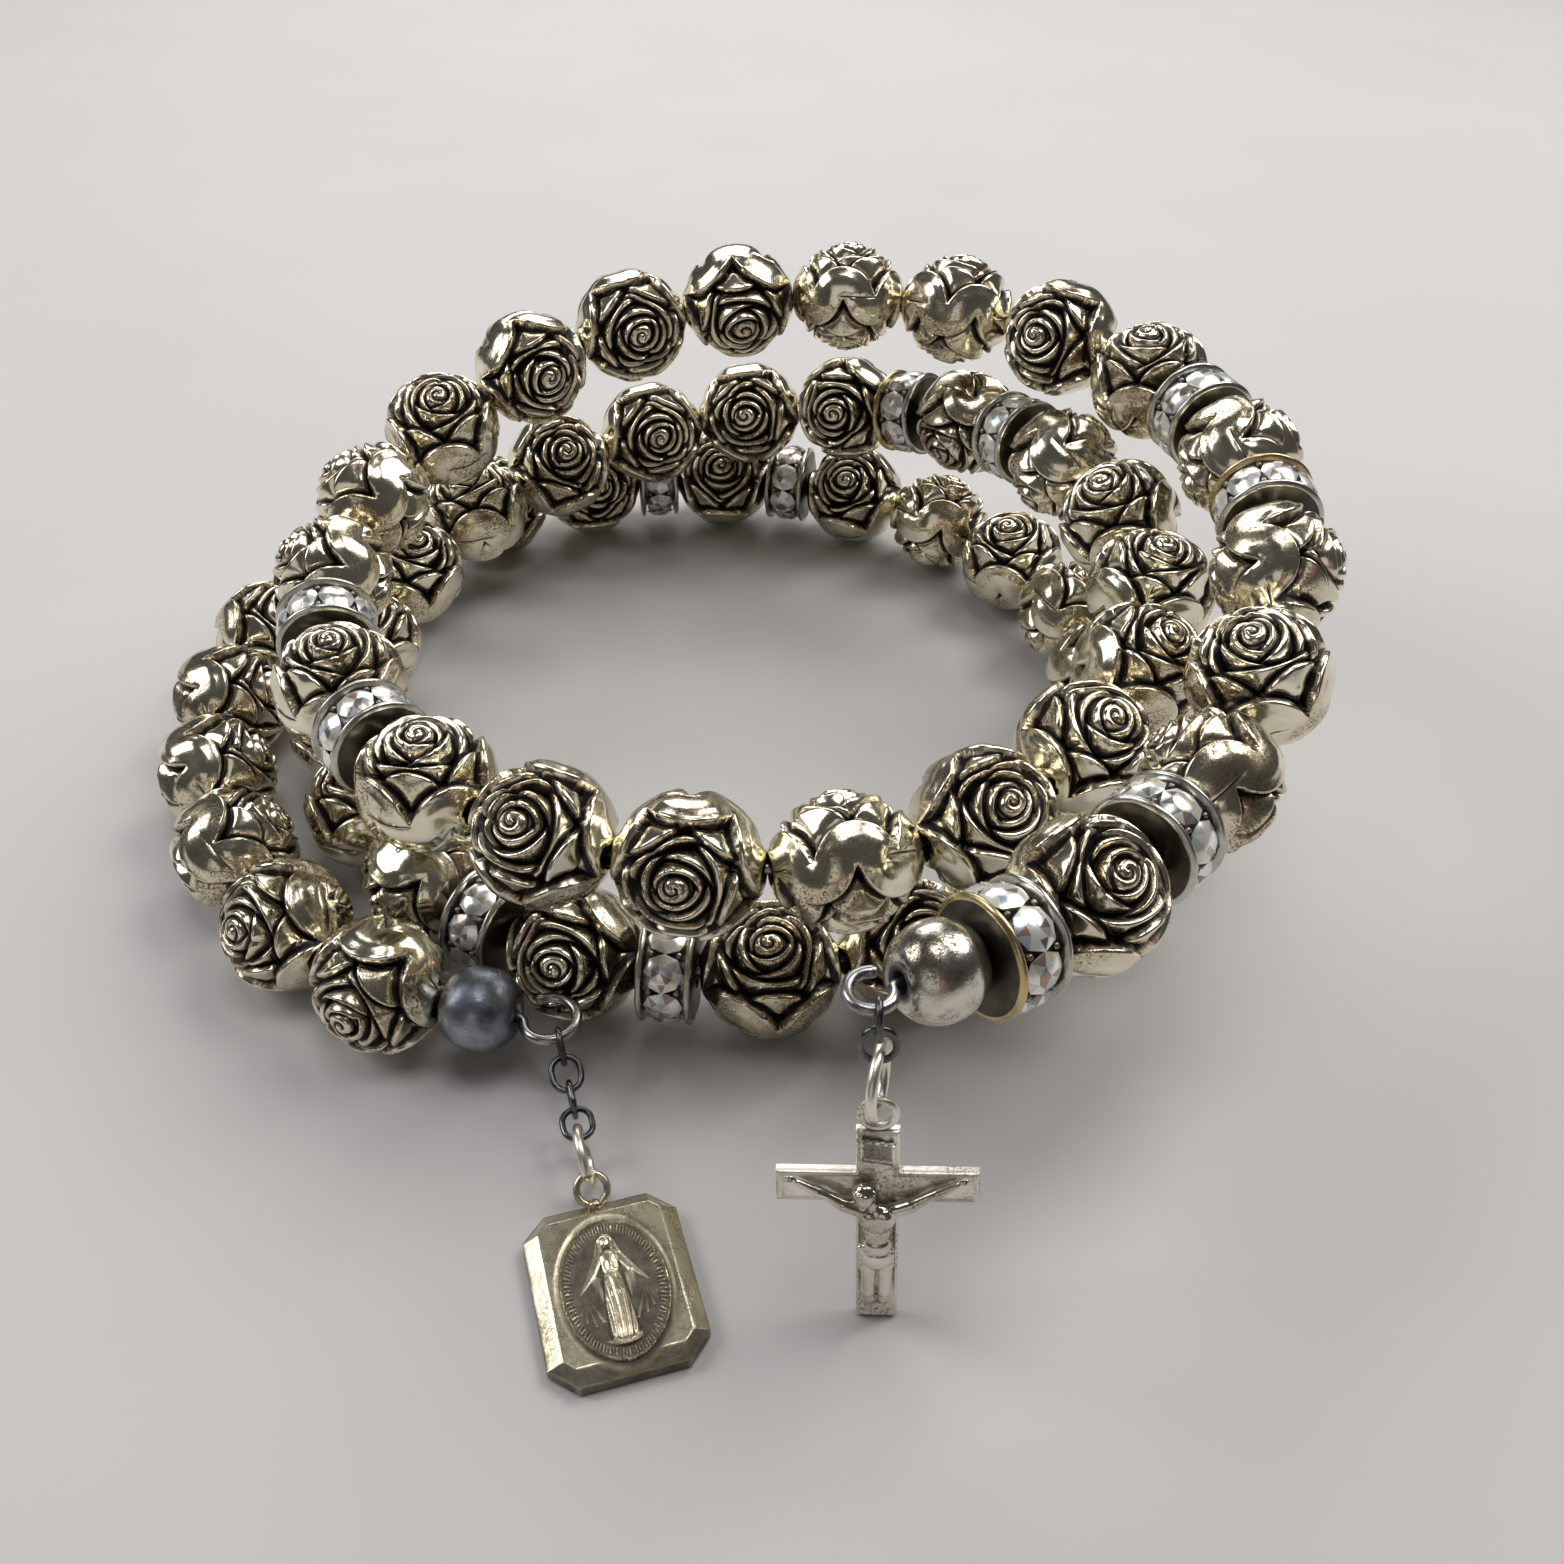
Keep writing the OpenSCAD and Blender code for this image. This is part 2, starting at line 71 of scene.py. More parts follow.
def smooth(t, c):
    k = len(ROUTE)
    i = int(np.clip(np.searchsorted(ROUTE[:, 0], t, side="right") - 1, 0, k - 2))

    def slope(j):
        a, b = max(j - 1, 0), min(j + 1, k - 1)
        return (ROUTE[b, c] - ROUTE[a, c]) / (ROUTE[b, 0] - ROUTE[a, 0])

    h = ROUTE[i + 1, 0] - ROUTE[i, 0]
    u = (t - ROUTE[i, 0]) / h
    return ((2 * u**3 - 3 * u * u + 1) * ROUTE[i, c] + (u**3 - 2 * u * u + u) * h * slope(i)
            + (3 * u * u - 2 * u**3) * ROUTE[i + 1, c] + (u**3 - u * u) * h * slope(i + 1))


def at(t):
    r, a = smooth(t, 1), (START_ANGLE - t) * RAD
    return np.array([r * math.cos(a), r * math.sin(a), max(4.0, smooth(t, 2))]) - MIDDLE


def along(t):
    return unit(at(t + 0.5) - at(t - 0.5))


points = np.array([at(t) for t in range(0, 1051)])
MEASURED = np.concatenate([[0], np.cumsum(np.linalg.norm(np.diff(points, axis=0), axis=1))])
ORDER = "e" + "r" * 10 + ("drd" + "r" * 10) * 4 + "drd" + "rrr" + "drd" + "e"
HALF = {"r": ROSE_PITCH / 2, "d": SPACER_LEN / 2 + 0.05, "e": END_LEN / 2 + 0.05}
places = [0.0]
for a_, b_ in zip(ORDER[:-1], ORDER[1:]):
    places.append(places[-1] + HALF[a_] + HALF[b_])
ANGLES = np.interp(places, MEASURED, np.arange(0, 1051))
FACE = ([8, 34, 152, 156, 160, 130, 120, 110, 130, 150] + [140] + [130, 60, 100, 50, 60, 80, 50, 20, 40, 66]
        + [34] + [152, 90, 70, 100, 110, 90, 140, 158, 162, 160] + [30] + [35, 125, 80, 60, 68, 48, 134, 18, 46, 92]
        + [92] + [36, 44, 104, 174, 166, 10, 68, 66, 162, 105] + [30] + [26, 98, 144] + [52])
# which of a rose's two faces looks along x, and which way round the bead is strung
FLIP = [2, 1, 3, 0, 0, 0, 2, 0, 1, 0, 2, 0, 3, 3, 0, 1, 0, 3, 0, 0, 0, 1, 0, 3, 0, 1, 0, 1, 2, 3,
        1, 0, 0, 2, 2, 3, 3, 2, 3, 3, 0, 0, 1, 1, 0, 2, 3, 2, 3, 2, 0, 1, 1, 1, 2, 1, 3, 0, 0]
ROSES = [i for i, k in enumerate(ORDER) if k == "r"]


def axes(p, n, x):
    """4x4 with z along n and x towards x, millimetres."""
    n = unit(n)
    y = unit(np.cross(n, x))
    m = np.eye(4)
    m[:3, 0], m[:3, 1], m[:3, 2], m[:3, 3] = np.cross(y, n), y, n, p
    return m


def bead_axes(i):
    t = ANGLES[i]
    n = along(t)
    p = at(t)
    out = unit([p[0] + MIDDLE[0], p[1] + MIDDLE[1], 0])
    side = unit(out - (out @ n) * n)
    up = unit(np.array([0, 0, 1.0]) - n[2] * n)
    f = FACE[ROSES.index(i)] * RAD if ORDER[i] == "r" else 0.0
    return axes(p, n, math.cos(f) * side + math.sin(f) * up)


# ---------------------------------------------------------------- mesh helpers
def smoothstep(a, b, x):
    t = np.clip((x - a) / (b - a), 0, 1)
    return t * t * (3 - 2 * t)


def new_mesh(name, verts, faces, smooth_shade=True, values=None, normals=None):
    """An object from vertices in mm and faces, with point values kept as named attributes."""
    me = bpy.data.meshes.new(name)
    me.from_pydata((np.asarray(verts, float) * MM).tolist(), [], [list(map(int, f)) for f in faces])
    me.update()
    for key, val in (values or {}).items():
        a = me.attributes.new(key, "FLOAT", "POINT")
        a.data.foreach_set("value", np.asarray(val, np.float32))
    me.polygons.foreach_set("use_smooth", [smooth_shade] * len(me.polygons))
    if normals is not None:
        me.normals_split_custom_set_from_vertices(np.asarray(normals, float).tolist())
    o = bpy.data.objects.new(name, me)
    bpy.context.scene.collection.objects.link(o)
    return o


def place(verts, m):
    return np.asarray(verts) @ m[:3, :3].T + m[:3, 3]


def lathe(profile, segs=64):
    """Closed rings around z from (radius, z) rows; a radius of 0 closes an end."""
    V, F, rows = [], [], []
    for r, z in profile:
        if r < 1e-6:
            rows.append([len(V)])
            V.append((0, 0, z))
        else:
            rows.append(list(range(len(V), len(V) + segs)))
            V += [(r * math.cos(2 * math.pi * k / segs), r * math.sin(2 * math.pi * k / segs), z) for k in range(segs)]
    for a, b in zip(rows[:-1], rows[1:]):
        for k in range(segs):
            l = (k + 1) % segs
            if len(a) == 1:
                F.append((a[0], b[k], b[l])[::-1])
            elif len(b) == 1:
                F.append((a[k], a[l], b[0]))
            else:
                F.append((a[k], a[l], b[l], b[k]))
    return np.array(V, float), F


def ring_lathe(profile, segs=64):
    """A closed ring around z from a closed loop of (radius, z) rows."""
    n = len(profile)
    V = [(r * math.cos(2 * math.pi * k / segs), r * math.sin(2 * math.pi * k / segs), z) for k in range(segs) for r, z in profile]
    F = []
    for k in range(segs):
        for j in range(n):
            a, b, c, d = k * n + j, k * n + (j + 1) % n, ((k + 1) % segs) * n + (j + 1) % n, ((k + 1) % segs) * n + j
            F.append((a, d, c, b))
    return np.array(V, float), F


def tube(path, radius, sides=14, closed=False, up=(0, 0, 1)):
    """A tube along points; radius may be a list."""
    P = np.asarray(path, float)
    n = len(P)
    R = np.full(n, radius) if np.isscalar(radius) else np.asarray(radius, float)
    V, F = [], []
    prev = None
    for i in range(n):
        a, b = (P[(i - 1) % n], P[(i + 1) % n]) if closed else (P[max(i - 1, 0)], P[min(i + 1, n - 1)])
        d = unit(b - a)
        if prev is None:
            x = np.array(up, float) - (np.array(up, float) @ d) * d
            if np.linalg.norm(x) < 1e-3:
                x = np.array([1.0, 0, 0]) - d[0] * d
        else:
            x = prev - (prev @ d) * d
        x = unit(x)
        prev = x
        y = np.cross(d, x)
        for k in range(sides):
            c, s = math.cos(2 * math.pi * k / sides), math.sin(2 * math.pi * k / sides)
            V.append(P[i] + R[i] * (c * x + s * y))
    last = n if closed else n - 1
    for i in range(last):
        j = (i + 1) % n
        for k in range(sides):
            l = (k + 1) % sides
            F.append((i * sides + k, i * sides + l, j * sides + l, j * sides + k))
    if not closed:
        F.append(tuple(range(sides))[::-1])
        F.append(tuple((n - 1) * sides + k for k in range(sides)))
    return np.array(V), F


def join(parts):
    V, F, base = [], [], 0
    for v, f in parts:
        V.append(np.asarray(v, float))
        F += [tuple(int(a) + base for a in g) for g in f]
        base += len(v)
    return np.concatenate(V), F


# ---------------------------------------------------------------- materials
def material(name):
    m = bpy.data.materials.new(name)
    m.use_nodes = True
    nt = m.node_tree
    b = nt.nodes["Principled BSDF"]
    return m, nt, b


def add(nt, kind, **kw):
    n = nt.nodes.new(kind)
    for k, v in kw.items():
        if k in n.inputs.keys():
            n.inputs[k].default_value = v
        else:
            setattr(n, k, v)
    return n


def ramp(nt, source, stops):
    r = nt.nodes.new("ShaderNodeValToRGB")
    e = r.color_ramp.elements
    while len(e) < len(stops):
        e.new(0.5)
    for k, (p, c) in enumerate(stops):
        e[k].position = p
        e[k].color = (c[0], c[1], c[2], 1) if hasattr(c, "__len__") else (c, c, c, 1)
    nt.links.new(source, r.inputs[0])
    return r.outputs[0]


def noise(nt, coord, scale, detail=4.0, rough=0.55, stretch=None):
    n = add(nt, "ShaderNodeTexNoise", Scale=scale, Detail=detail, Roughness=rough)
    if stretch:
        m = nt.nodes.new("ShaderNodeMapping")
        m.inputs["Scale"].default_value = stretch
        nt.links.new(coord, m.inputs[0])
        coord = m.outputs[0]
    nt.links.new(coord, n.inputs["Vector"])
    return n.outputs["Fac"]


def mix(nt, fac, a, b):
    n = nt.nodes.new("ShaderNodeMix")
    n.data_type = "RGBA"
    for sock, val in ((n.inputs[0], fac), (n.inputs[6], a), (n.inputs[7], b)):
        if hasattr(val, "links") or isinstance(val, bpy.types.NodeSocket):
            nt.links.new(val, sock)
        elif hasattr(val, "__len__"):
            sock.default_value = (*val[:3], 1)
        else:
            sock.default_value = val
    return n.outputs[2]


def math_node(nt, op, a, b=0.0, clamp=False):
    n = nt.nodes.new("ShaderNodeMath")
    n.operation = op
    n.use_clamp = clamp
    for sock, val in ((n.inputs[0], a), (n.inputs[1], b)):
        if isinstance(val, bpy.types.NodeSocket):
            nt.links.new(val, sock)
        else:
            sock.default_value = val
    return n.outputs[0]


def bump(nt, b, height, strength, distance):
    n = add(nt, "ShaderNodeBump", Strength=strength, Distance=distance)
    nt.links.new(height, n.inputs["Height"])
    nt.links.new(n.outputs[0], b.inputs["Normal"])


def antique_metal(name, bright, warm, black, rough, cavity_at=(0.3, 0.7), specks=0.5, grain=1.0, cavity="attribute", reflection_paint=0.0, reflection_tone=(0.40, 0.22, 0.15)):
    """Cast metal with a worn bright skin and black left in its grooves."""
    m, nt, b = material(name)
    co = nt.nodes.new("ShaderNodeTexCoord").outputs["Object"]
    big = noise(nt, co, 260, 3)
    mid = noise(nt, co, 900, 4, 0.6)
    fine = noise(nt, co, 5200, 3, 0.6)
    base = mix(nt, ramp(nt, big, [(0.38, 0.0), (0.66, 1.0)]), bright, warm)
    # worn specks where the plating has gone, in patches
    patch = ramp(nt, big, [(0.48, 0.0), (0.60, 1.0)])
    dots = ramp(nt, noise(nt, co, 6500, 5, 0.75), [(0.50, 0.0), (0.58, 1.0)])
    wear = math_node(nt, "MULTIPLY", math_node(nt, "MULTIPLY", patch, dots), specks)
    base = mix(nt, wear, base, (0.22 * warm[0], 0.17 * warm[1], 0.14 * warm[2]))
    if cavity == "attribute":
        a = nt.nodes.new("ShaderNodeAttribute")
        a.attribute_name = "cavity"
        cav = a.outputs["Fac"]
    else:
        g = nt.nodes.new("ShaderNodeNewGeometry")
        cav = ramp(nt, g.outputs["Pointiness"], [(0.42, 1.0), (0.52, 0.0)])
    # the black's edge is uneven
    cav = math_node(nt, "ADD", cav, math_node(nt, "MULTIPLY", math_node(nt, "SUBTRACT", mid, 0.5), 0.5))
    dark = ramp(nt, cav, [(cavity_at[0], 0.0), (cavity_at[1], 1.0)])
    if reflection_paint:
        # a painted reddish-brown reflection on the slopes beside the black, stronger in places
        slope = ramp(nt, cav, [(max(cavity_at[0] - 0.16, 0.01), 0.0), (cavity_at[0] + 0.10, 1.0)])
        where = ramp(nt, noise(nt, co, 420, 3, 0.6), [(0.40, 0.15), (0.62, 1.0)])
        base = mix(nt, math_node(nt, "MULTIPLY", math_node(nt, "MULTIPLY", slope, where), reflection_paint), base, reflection_tone)
    col = mix(nt, dark, base, black)
    nt.links.new(col, b.inputs["Base Color"])
    met = math_node(nt, "SUBTRACT", 1.0, math_node(nt, "MULTIPLY", dark, 0.75), True)
    nt.links.new(met, b.inputs["Metallic"])
    r0 = math_node(nt, "ADD", rough, math_node(nt, "MULTIPLY", math_node(nt, "SUBTRACT", mid, 0.5), 0.22))
    r1 = math_node(nt, "ADD", r0, math_node(nt, "MULTIPLY", dark, 0.22))
    r2 = math_node(nt, "ADD", r1, math_node(nt, "MULTIPLY", wear, 0.3), True)
    nt.links.new(r2, b.inputs["Roughness"])
    h = math_node(nt, "ADD", math_node(nt, "MULTIPLY", mid, 0.7), math_node(nt, "MULTIPLY", fine, 0.3))
    bump(nt, b, h, 0.16 * grain, 0.00012)
    return m


def plain_metal(name, bright, tint, rough, grain=1.0, smudge=0.3):
    """Polished or drawn metal with faint smudges and fine scratches."""
    m, nt, b = material(name)
    co = nt.nodes.new("ShaderNodeTexCoord").outputs["Object"]
    big = noise(nt, co, 420, 4, 0.6)
    fine = noise(nt, co, 3800, 3, 0.6, (1, 1, 4))
    nt.links.new(mix(nt, ramp(nt, big, [(0.42, 0.0), (0.64, 1.0)]), bright, tint), b.inputs["Base Color"])
    b.inputs["Metallic"].default_value = 1.0
    r = math_node(nt, "ADD", rough, math_node(nt, "MULTIPLY", math_node(nt, "SUBTRACT", big, 0.45), smudge), True)
    nt.links.new(r, b.inputs["Roughness"])
    bump(nt, b, fine, 0.10 * grain, 0.00008)
    return m


def crystal(name):
    """Cut glass over foil with painted light in its base colour: each facet gets its own painted glint, painted
    reflection or painted dark, some with a faint rainbow tint.
    """
    m, nt, b = material(name)
    a = nt.nodes.new("ShaderNodeAttribute")
    a.attribute_name = "facet"
    co = nt.nodes.new("ShaderNodeTexCoord").outputs["Object"]
    # each facet's colour is painted light, picked by its random value: white and pale painted glints, grey, blue and
    # gold painted reflections, a brown-red painted reflection and near-black painted dark facets
    stops = [(0.0, (0.98, 0.98, 0.94)), (0.30, (0.72, 0.74, 0.73)), (0.48, (0.22, 0.21, 0.19)), (0.55, (0.52, 0.53, 0.50)), (0.66, (0.44, 0.28, 0.22)),
             (0.71, (0.97, 0.96, 0.89)), (0.87, (0.52, 0.62, 0.72)), (0.91, (0.88, 0.79, 0.52)), (0.95, (0.28, 0.26, 0.24))]
    tone = nt.nodes.new("ShaderNodeValToRGB")
    tone.color_ramp.interpolation = "CONSTANT"
    e = tone.color_ramp.elements
    while len(e) < len(stops):
        e.new(0.5)
    for k, (p, c) in enumerate(stops):
        e[k].position = p
        e[k].color = (*c, 1)
    nt.links.new(a.outputs["Fac"], tone.inputs[0])
    n = noise(nt, co, 2600, 2)
    col = mix(nt, ramp(nt, n, [(0.50, 0.0), (0.80, 0.30)]), tone.outputs[0], (0.92, 0.92, 0.90))
    nt.links.new(col, b.inputs["Base Color"])
    b.inputs["Metallic"].default_value = 0.60
    b.inputs["Roughness"].default_value = 0.26
    b.inputs["Coat Weight"].default_value = 0.7
    b.inputs["Coat Roughness"].default_value = 0.01
    b.inputs["Coat IOR"].default_value = 1.6
    bump(nt, b, n, 0.05, 0.00005)
    return m


# the rose and medal metals carry a painted reddish-brown reflection on the slopes beside their black grooves
ROSE_MAT = antique_metal("rose_metal", (0.91, 0.86, 0.69), (0.70, 0.62, 0.45), (0.008, 0.007, 0.006), 0.17, (0.22, 0.50), 1.0, reflection_paint=0.75)
MEDAL_MAT = antique_metal("medal_metal", (0.76, 0.71, 0.55), (0.58, 0.52, 0.38), (0.060, 0.047, 0.032), 0.28, (0.18, 0.78), 0.6, 2.0, reflection_paint=0.7, reflection_tone=(0.36, 0.28, 0.18))
CROSS_MAT = antique_metal("cross_metal", (0.92, 0.89, 0.80), (0.74, 0.70, 0.60), (0.08, 0.065, 0.055), 0.38, (0.30, 1.0), 0.7, 2.4)
CORPUS_MAT = antique_metal("corpus_metal", (0.80, 0.76, 0.68), (0.50, 0.44, 0.37), (0.04, 0.030, 0.025), 0.16, (0.22, 0.90), 0.3, 1.0, "pointiness")
FLANGE_MAT = plain_metal("flange_metal", (0.62, 0.62, 0.57), (0.46, 0.45, 0.40), 0.24)
GOLD_MAT = plain_metal("gold_flange", (0.66, 0.52, 0.28), (0.46, 0.38, 0.24), 0.24)
CORE_MAT = plain_metal("setting_metal", (0.36, 0.34, 0.32), (0.20, 0.18, 0.17), 0.3)
STONE_MAT = crystal("clear_stone")
WIRE_MAT = plain_metal("wire_steel", (0.42, 0.41, 0.41), (0.26, 0.26, 0.27), 0.24)
LINK_MAT = plain_metal("dark_link", (0.16, 0.16, 0.17), (0.08, 0.08, 0.09), 0.24)
RING_MAT = plain_metal("silver_ring", (0.92, 0.90, 0.80), (0.78, 0.75, 0.65), 0.30)
DARK_BEAD_MAT = plain_metal("dark_bead", (0.36, 0.39, 0.44), (0.13, 0.14, 0.17), 0.27, 2.4, 0.7)
BRIGHT_BEAD_MAT = antique_metal("bright_bead", (0.90, 0.87, 0.78), (0.38, 0.34, 0.28), (0.05, 0.05, 0.05), 0.20, (0.4, 0.9), 1.0, 2.2)
# painted shade: a dark, dull finish for the rondelle plates' flat faces, standing in for the shade between plate and
# bead
PLATE_SHADE_MAT = plain_metal("plate_shade_paint", (0.11, 0.10, 0.08), (0.06, 0.05, 0.045), 0.34)

# ---------------------------------------------------------------- rose beads
# outer rounds of one face: petals, turn of the first, rim from the middle, roundness, middle (u, v), groove depth mm, groove reach deg
LOBES = [
    (5, 0.0, 57.0, 105.0, (0.0, 0.0), 0.66, 5.5),
    (5, 36.0, 43.0, 85.0, (2.0, 1.0), 0.52, 4.5),
]
# inner petals, each round from the inside out: direction of the petal, rim from the bud at its middle, roundness of the rim
# (times that), how far it wraps to each side, deg
EYE = (4.6, 2.4)
WRAPS = [
    [(20, 12.0, 1.50, 130), (200, 14.0, 1.45, 120)],
    [(100, 22.5, 1.60, 105), (225, 24.5, 1.50, 110), (345, 23.5, 1.65, 100)],
    [(40, 33.0, 1.90, 90), (165, 35.0, 1.70, 95), (285, 34.0, 1.90, 90)],
]
WRAP_GROOVE = [(0.34, 3.0, 2.5), (0.44, 3.8, 3.1), (0.52, 4.6, 3.5)]   # depth mm, reach deg, width of the black deg


def petal_top(D, wide, lift, edge, fall):
    d = np.clip(D, 0, None)
    return lift * np.exp(-((d - 2.6) / 2.6) ** 2) - edge * np.exp(-d / 1.3) - fall * smoothstep(3, wide, d)


def paint(H, cav, D, top, depth, reach, dark_w, mask=1.0):
    w = smoothstep(-1.2, 0.9, D) * mask
    foot = np.exp(np.clip(D, None, 0) / reach) * mask
    dark = np.exp(-((np.clip(-D, 0, None)) / dark_w) ** 2) * mask
    H = (H - depth * foot) * (1 - w) + top * w
    cav = np.maximum(cav, dark) * (1 - smoothstep(-0.4, 1.1, D) * mask)
    return H, cav


def face_relief(u, v):
    """Height of one rose face against the bead's ball in mm and its dark grooves, at angles (u, v) from the face's middle."""
    x, y = u - EYE[0], v - EYE[1]
    rho, phi = np.hypot(x, y), np.arctan2(y, x)
    # rolled bud: one comma-shaped turn
    f = rho / 10.5 + phi / (2 * math.pi)
    f = f - np.floor(f)
    ridge = np.sin(math.pi * f) ** 0.5
    H = 0.10 - 0.24 * (1 - ridge)
    cav = (1 - ridge) ** 1.1
    for petals, (depth, reach, dark_w) in zip(WRAPS, WRAP_GROOVE):
        def one(k):
            a, m, b, span = petals[k]
            off = m * b - m
            D = np.hypot(x + off * math.cos(a * RAD), y + off * math.sin(a * RAD)) - m * b
            rel = (phi - a * RAD + math.pi) % (2 * math.pi) - math.pi
            return D, rel, span * RAD
        for k in range(len(petals)):
            D, rel, span = one(k)
            m = smoothstep(span, span - 0.5, np.abs(rel))
            H, cav = paint(H, cav, D, petal_top(D, 13, 0.09, 0.16, 0.22), depth, reach, dark_w, m)
        D, rel, span = one(0)
        m = smoothstep(span, span - 0.5, np.abs(rel)) * smoothstep(0.15, -0.15, rel)
        H, cav = paint(H, cav, D, petal_top(D, 13, 0.09, 0.16, 0.22), depth, reach, dark_w, m)
    for (n, turn, mid, a, (cu, cv), depth, reach) in reversed(LOBES):
        x, y = u - cu, v - cv
        ds = []
        for j in range(n):
            an = (turn + 360.0 / n * j) * RAD
            k = mid * (1 + 0.05 * math.sin(2.3 * j + turn)) + a
            ds.append(a - np.hypot(x - k * math.cos(an), y - k * math.sin(an)))
        o = np.sort(np.array(ds), axis=0)
        D, line = o[-1], o[-1] - o[-2]
        pit = np.exp(-(line / 9.0) ** 2)
        if mid > 50:
            top = petal_top(D, 24, 0.10, 0.20, 0.06) + 0.10 * smoothstep(3, 16, D)
        else:
            top = petal_top(D, 20, 0.08, 0.18, 0.26) - 0.20 * np.exp(-(line / 6.0) ** 2)
        H, cav = paint(H, cav, D, top, depth * (1 + 0.35 * pit), reach, 3.0 * (1 + 0.9 * pit))
    return H, cav


def valley(P, first, wide):
    """1 on the five meridians from this one on, 0 between them."""
    d = (P - first + 36.0) % 72.0 - 36.0
    return np.exp(-(d / wide) ** 2)


def rose_skin(T, P, side):
    """Point in mm and groove value of the bead's skin at angle T from the face's middle and P around it, degrees."""
    turn = np.where(side == 0, 0.0, 36.0)
    u, v = T * np.cos((P + turn) * RAD), T * np.sin((P + turn) * RAD)
    H, cav = face_relief(u, v)
    H = H * smoothstep(90, 79, T)
    cav = cav * smoothstep(89, 83, T)
    # soft valleys between the outer lobes run from each notch over the middle of the bead
    own, other = np.where(side == 0, 36.0, 0.0), np.where(side == 0, 0.0, 36.0)
    H = H - 0.17 * valley(P, own, 9.0) * smoothstep(62, 72, T) * (1 - 0.4 * smoothstep(80, 90, T))
    H = H - 0.17 * valley(P, other, 9.0) * smoothstep(64, 90, T) * 0.6
    # mould seam around the middle, only between some petals
    seam = np.exp(-((90 - T) / 0.8) ** 2) * smoothstep(0.2, 0.7, np.sin(3 * P * RAD + 0.7))
    H = H - 0.08 * seam
    cav = np.maximum(cav, 0.7 * seam)
    r = 3.98 * (1 - 0.055 * np.cos(T * RAD) ** 2) + H
    dx = np.cos(T * RAD) * np.where(side == 0, 1, -1)
    dy, dz = np.sin(T * RAD) * np.cos(P * RAD), np.sin(T * RAD) * np.sin(P * RAD)
    h = 3.95 * np.hypot(dx, dy)
    r = np.maximum(r, r + (4.10 - r) * smoothstep(1.9, 1.0, h)) - 1.2 * smoothstep(0.72, 0.46, h)
    cav = np.maximum(cav, smoothstep(0.74, 0.58, h))
    return np.stack([r * dx, r * dy, r * dz], -1), cav


def rose_bead(triangles, rings=150, segs=300):
    """Vertices, faces, groove values and normals of one bead: faces look along +x and -x, hole along z."""
    V, F, base = [], [], 0
    for side in (0, 1):
        T, P = np.meshgrid(np.linspace(0, 90, rings + 1), np.arange(segs) * 360.0 / segs, indexing="ij")
        p, _ = rose_skin(T, P, np.full(T.shape, side))
        V.append(p.reshape(-1, 3))
        i, j = np.arange(rings)[:, None] * segs, np.arange(segs)[None, :]
        k = (j + 1) % segs
        q = np.stack([i + j, i + segs + j, i + segs + k, i + k], -1).reshape(-1, 4) + base
        F.append(q[:, ::-1] if side else q)
        base += len(V[-1])
    me = bpy.data.meshes.new("tmp")
    me.from_pydata(np.concatenate(V).tolist(), [], np.concatenate(F).tolist())
    bm = bmesh.new()
    bm.from_mesh(me)
    bmesh.ops.remove_doubles(bm, verts=bm.verts, dist=0.001)
    bmesh.ops.recalc_face_normals(bm, faces=bm.faces)
    bmesh.ops.triangulate(bm, faces=bm.faces)
    bm.to_mesh(me)
    bm.free()
    o = bpy.data.objects.new("tmp", me)
    bpy.context.scene.collection.objects.link(o)
    d = o.modifiers.new("d", "DECIMATE")
    d.ratio = triangles / len(me.polygons)
    dg = bpy.context.evaluated_depsgraph_get()
    ev = o.evaluated_get(dg).to_mesh()
    co = np.empty(len(ev.vertices) * 3)
    ev.vertices.foreach_get("co", co)
    co = co.reshape(-1, 3).copy()
    faces = [tuple(p.vertices) for p in ev.polygons]
    bpy.data.objects.remove(o)
    side = np.where(co[:, 0] >= 0, 0, 1)
    T = np.arctan2(np.hypot(co[:, 1], co[:, 2]), np.abs(co[:, 0])) / RAD
    P = np.arctan2(co[:, 2], co[:, 1]) / RAD
    _, cav = rose_skin(T, P, side)
    e = 0.55
    a = rose_skin(np.minimum(T + e, 90), P, side)[0] - rose_skin(np.maximum(T - e, 0.02), P, side)[0]
    q = e / np.maximum(np.sin(T * RAD), 0.02)
    b = rose_skin(T, P + q, side)[0] - rose_skin(T, P - q, side)[0]
    n = np.cross(a, b)
    n /= np.maximum(np.linalg.norm(n, axis=1), 1e-9)[:, None]
    n *= np.where((n * co).sum(1) < 0, -1, 1)[:, None]
    return co, np.array(faces), cav, n


ROSE = rose_bead(12000)
FLIPS = [np.eye(3), np.diag([1.0, -1, -1]), np.diag([-1.0, -1, 1]), np.diag([-1.0, 1, -1])]


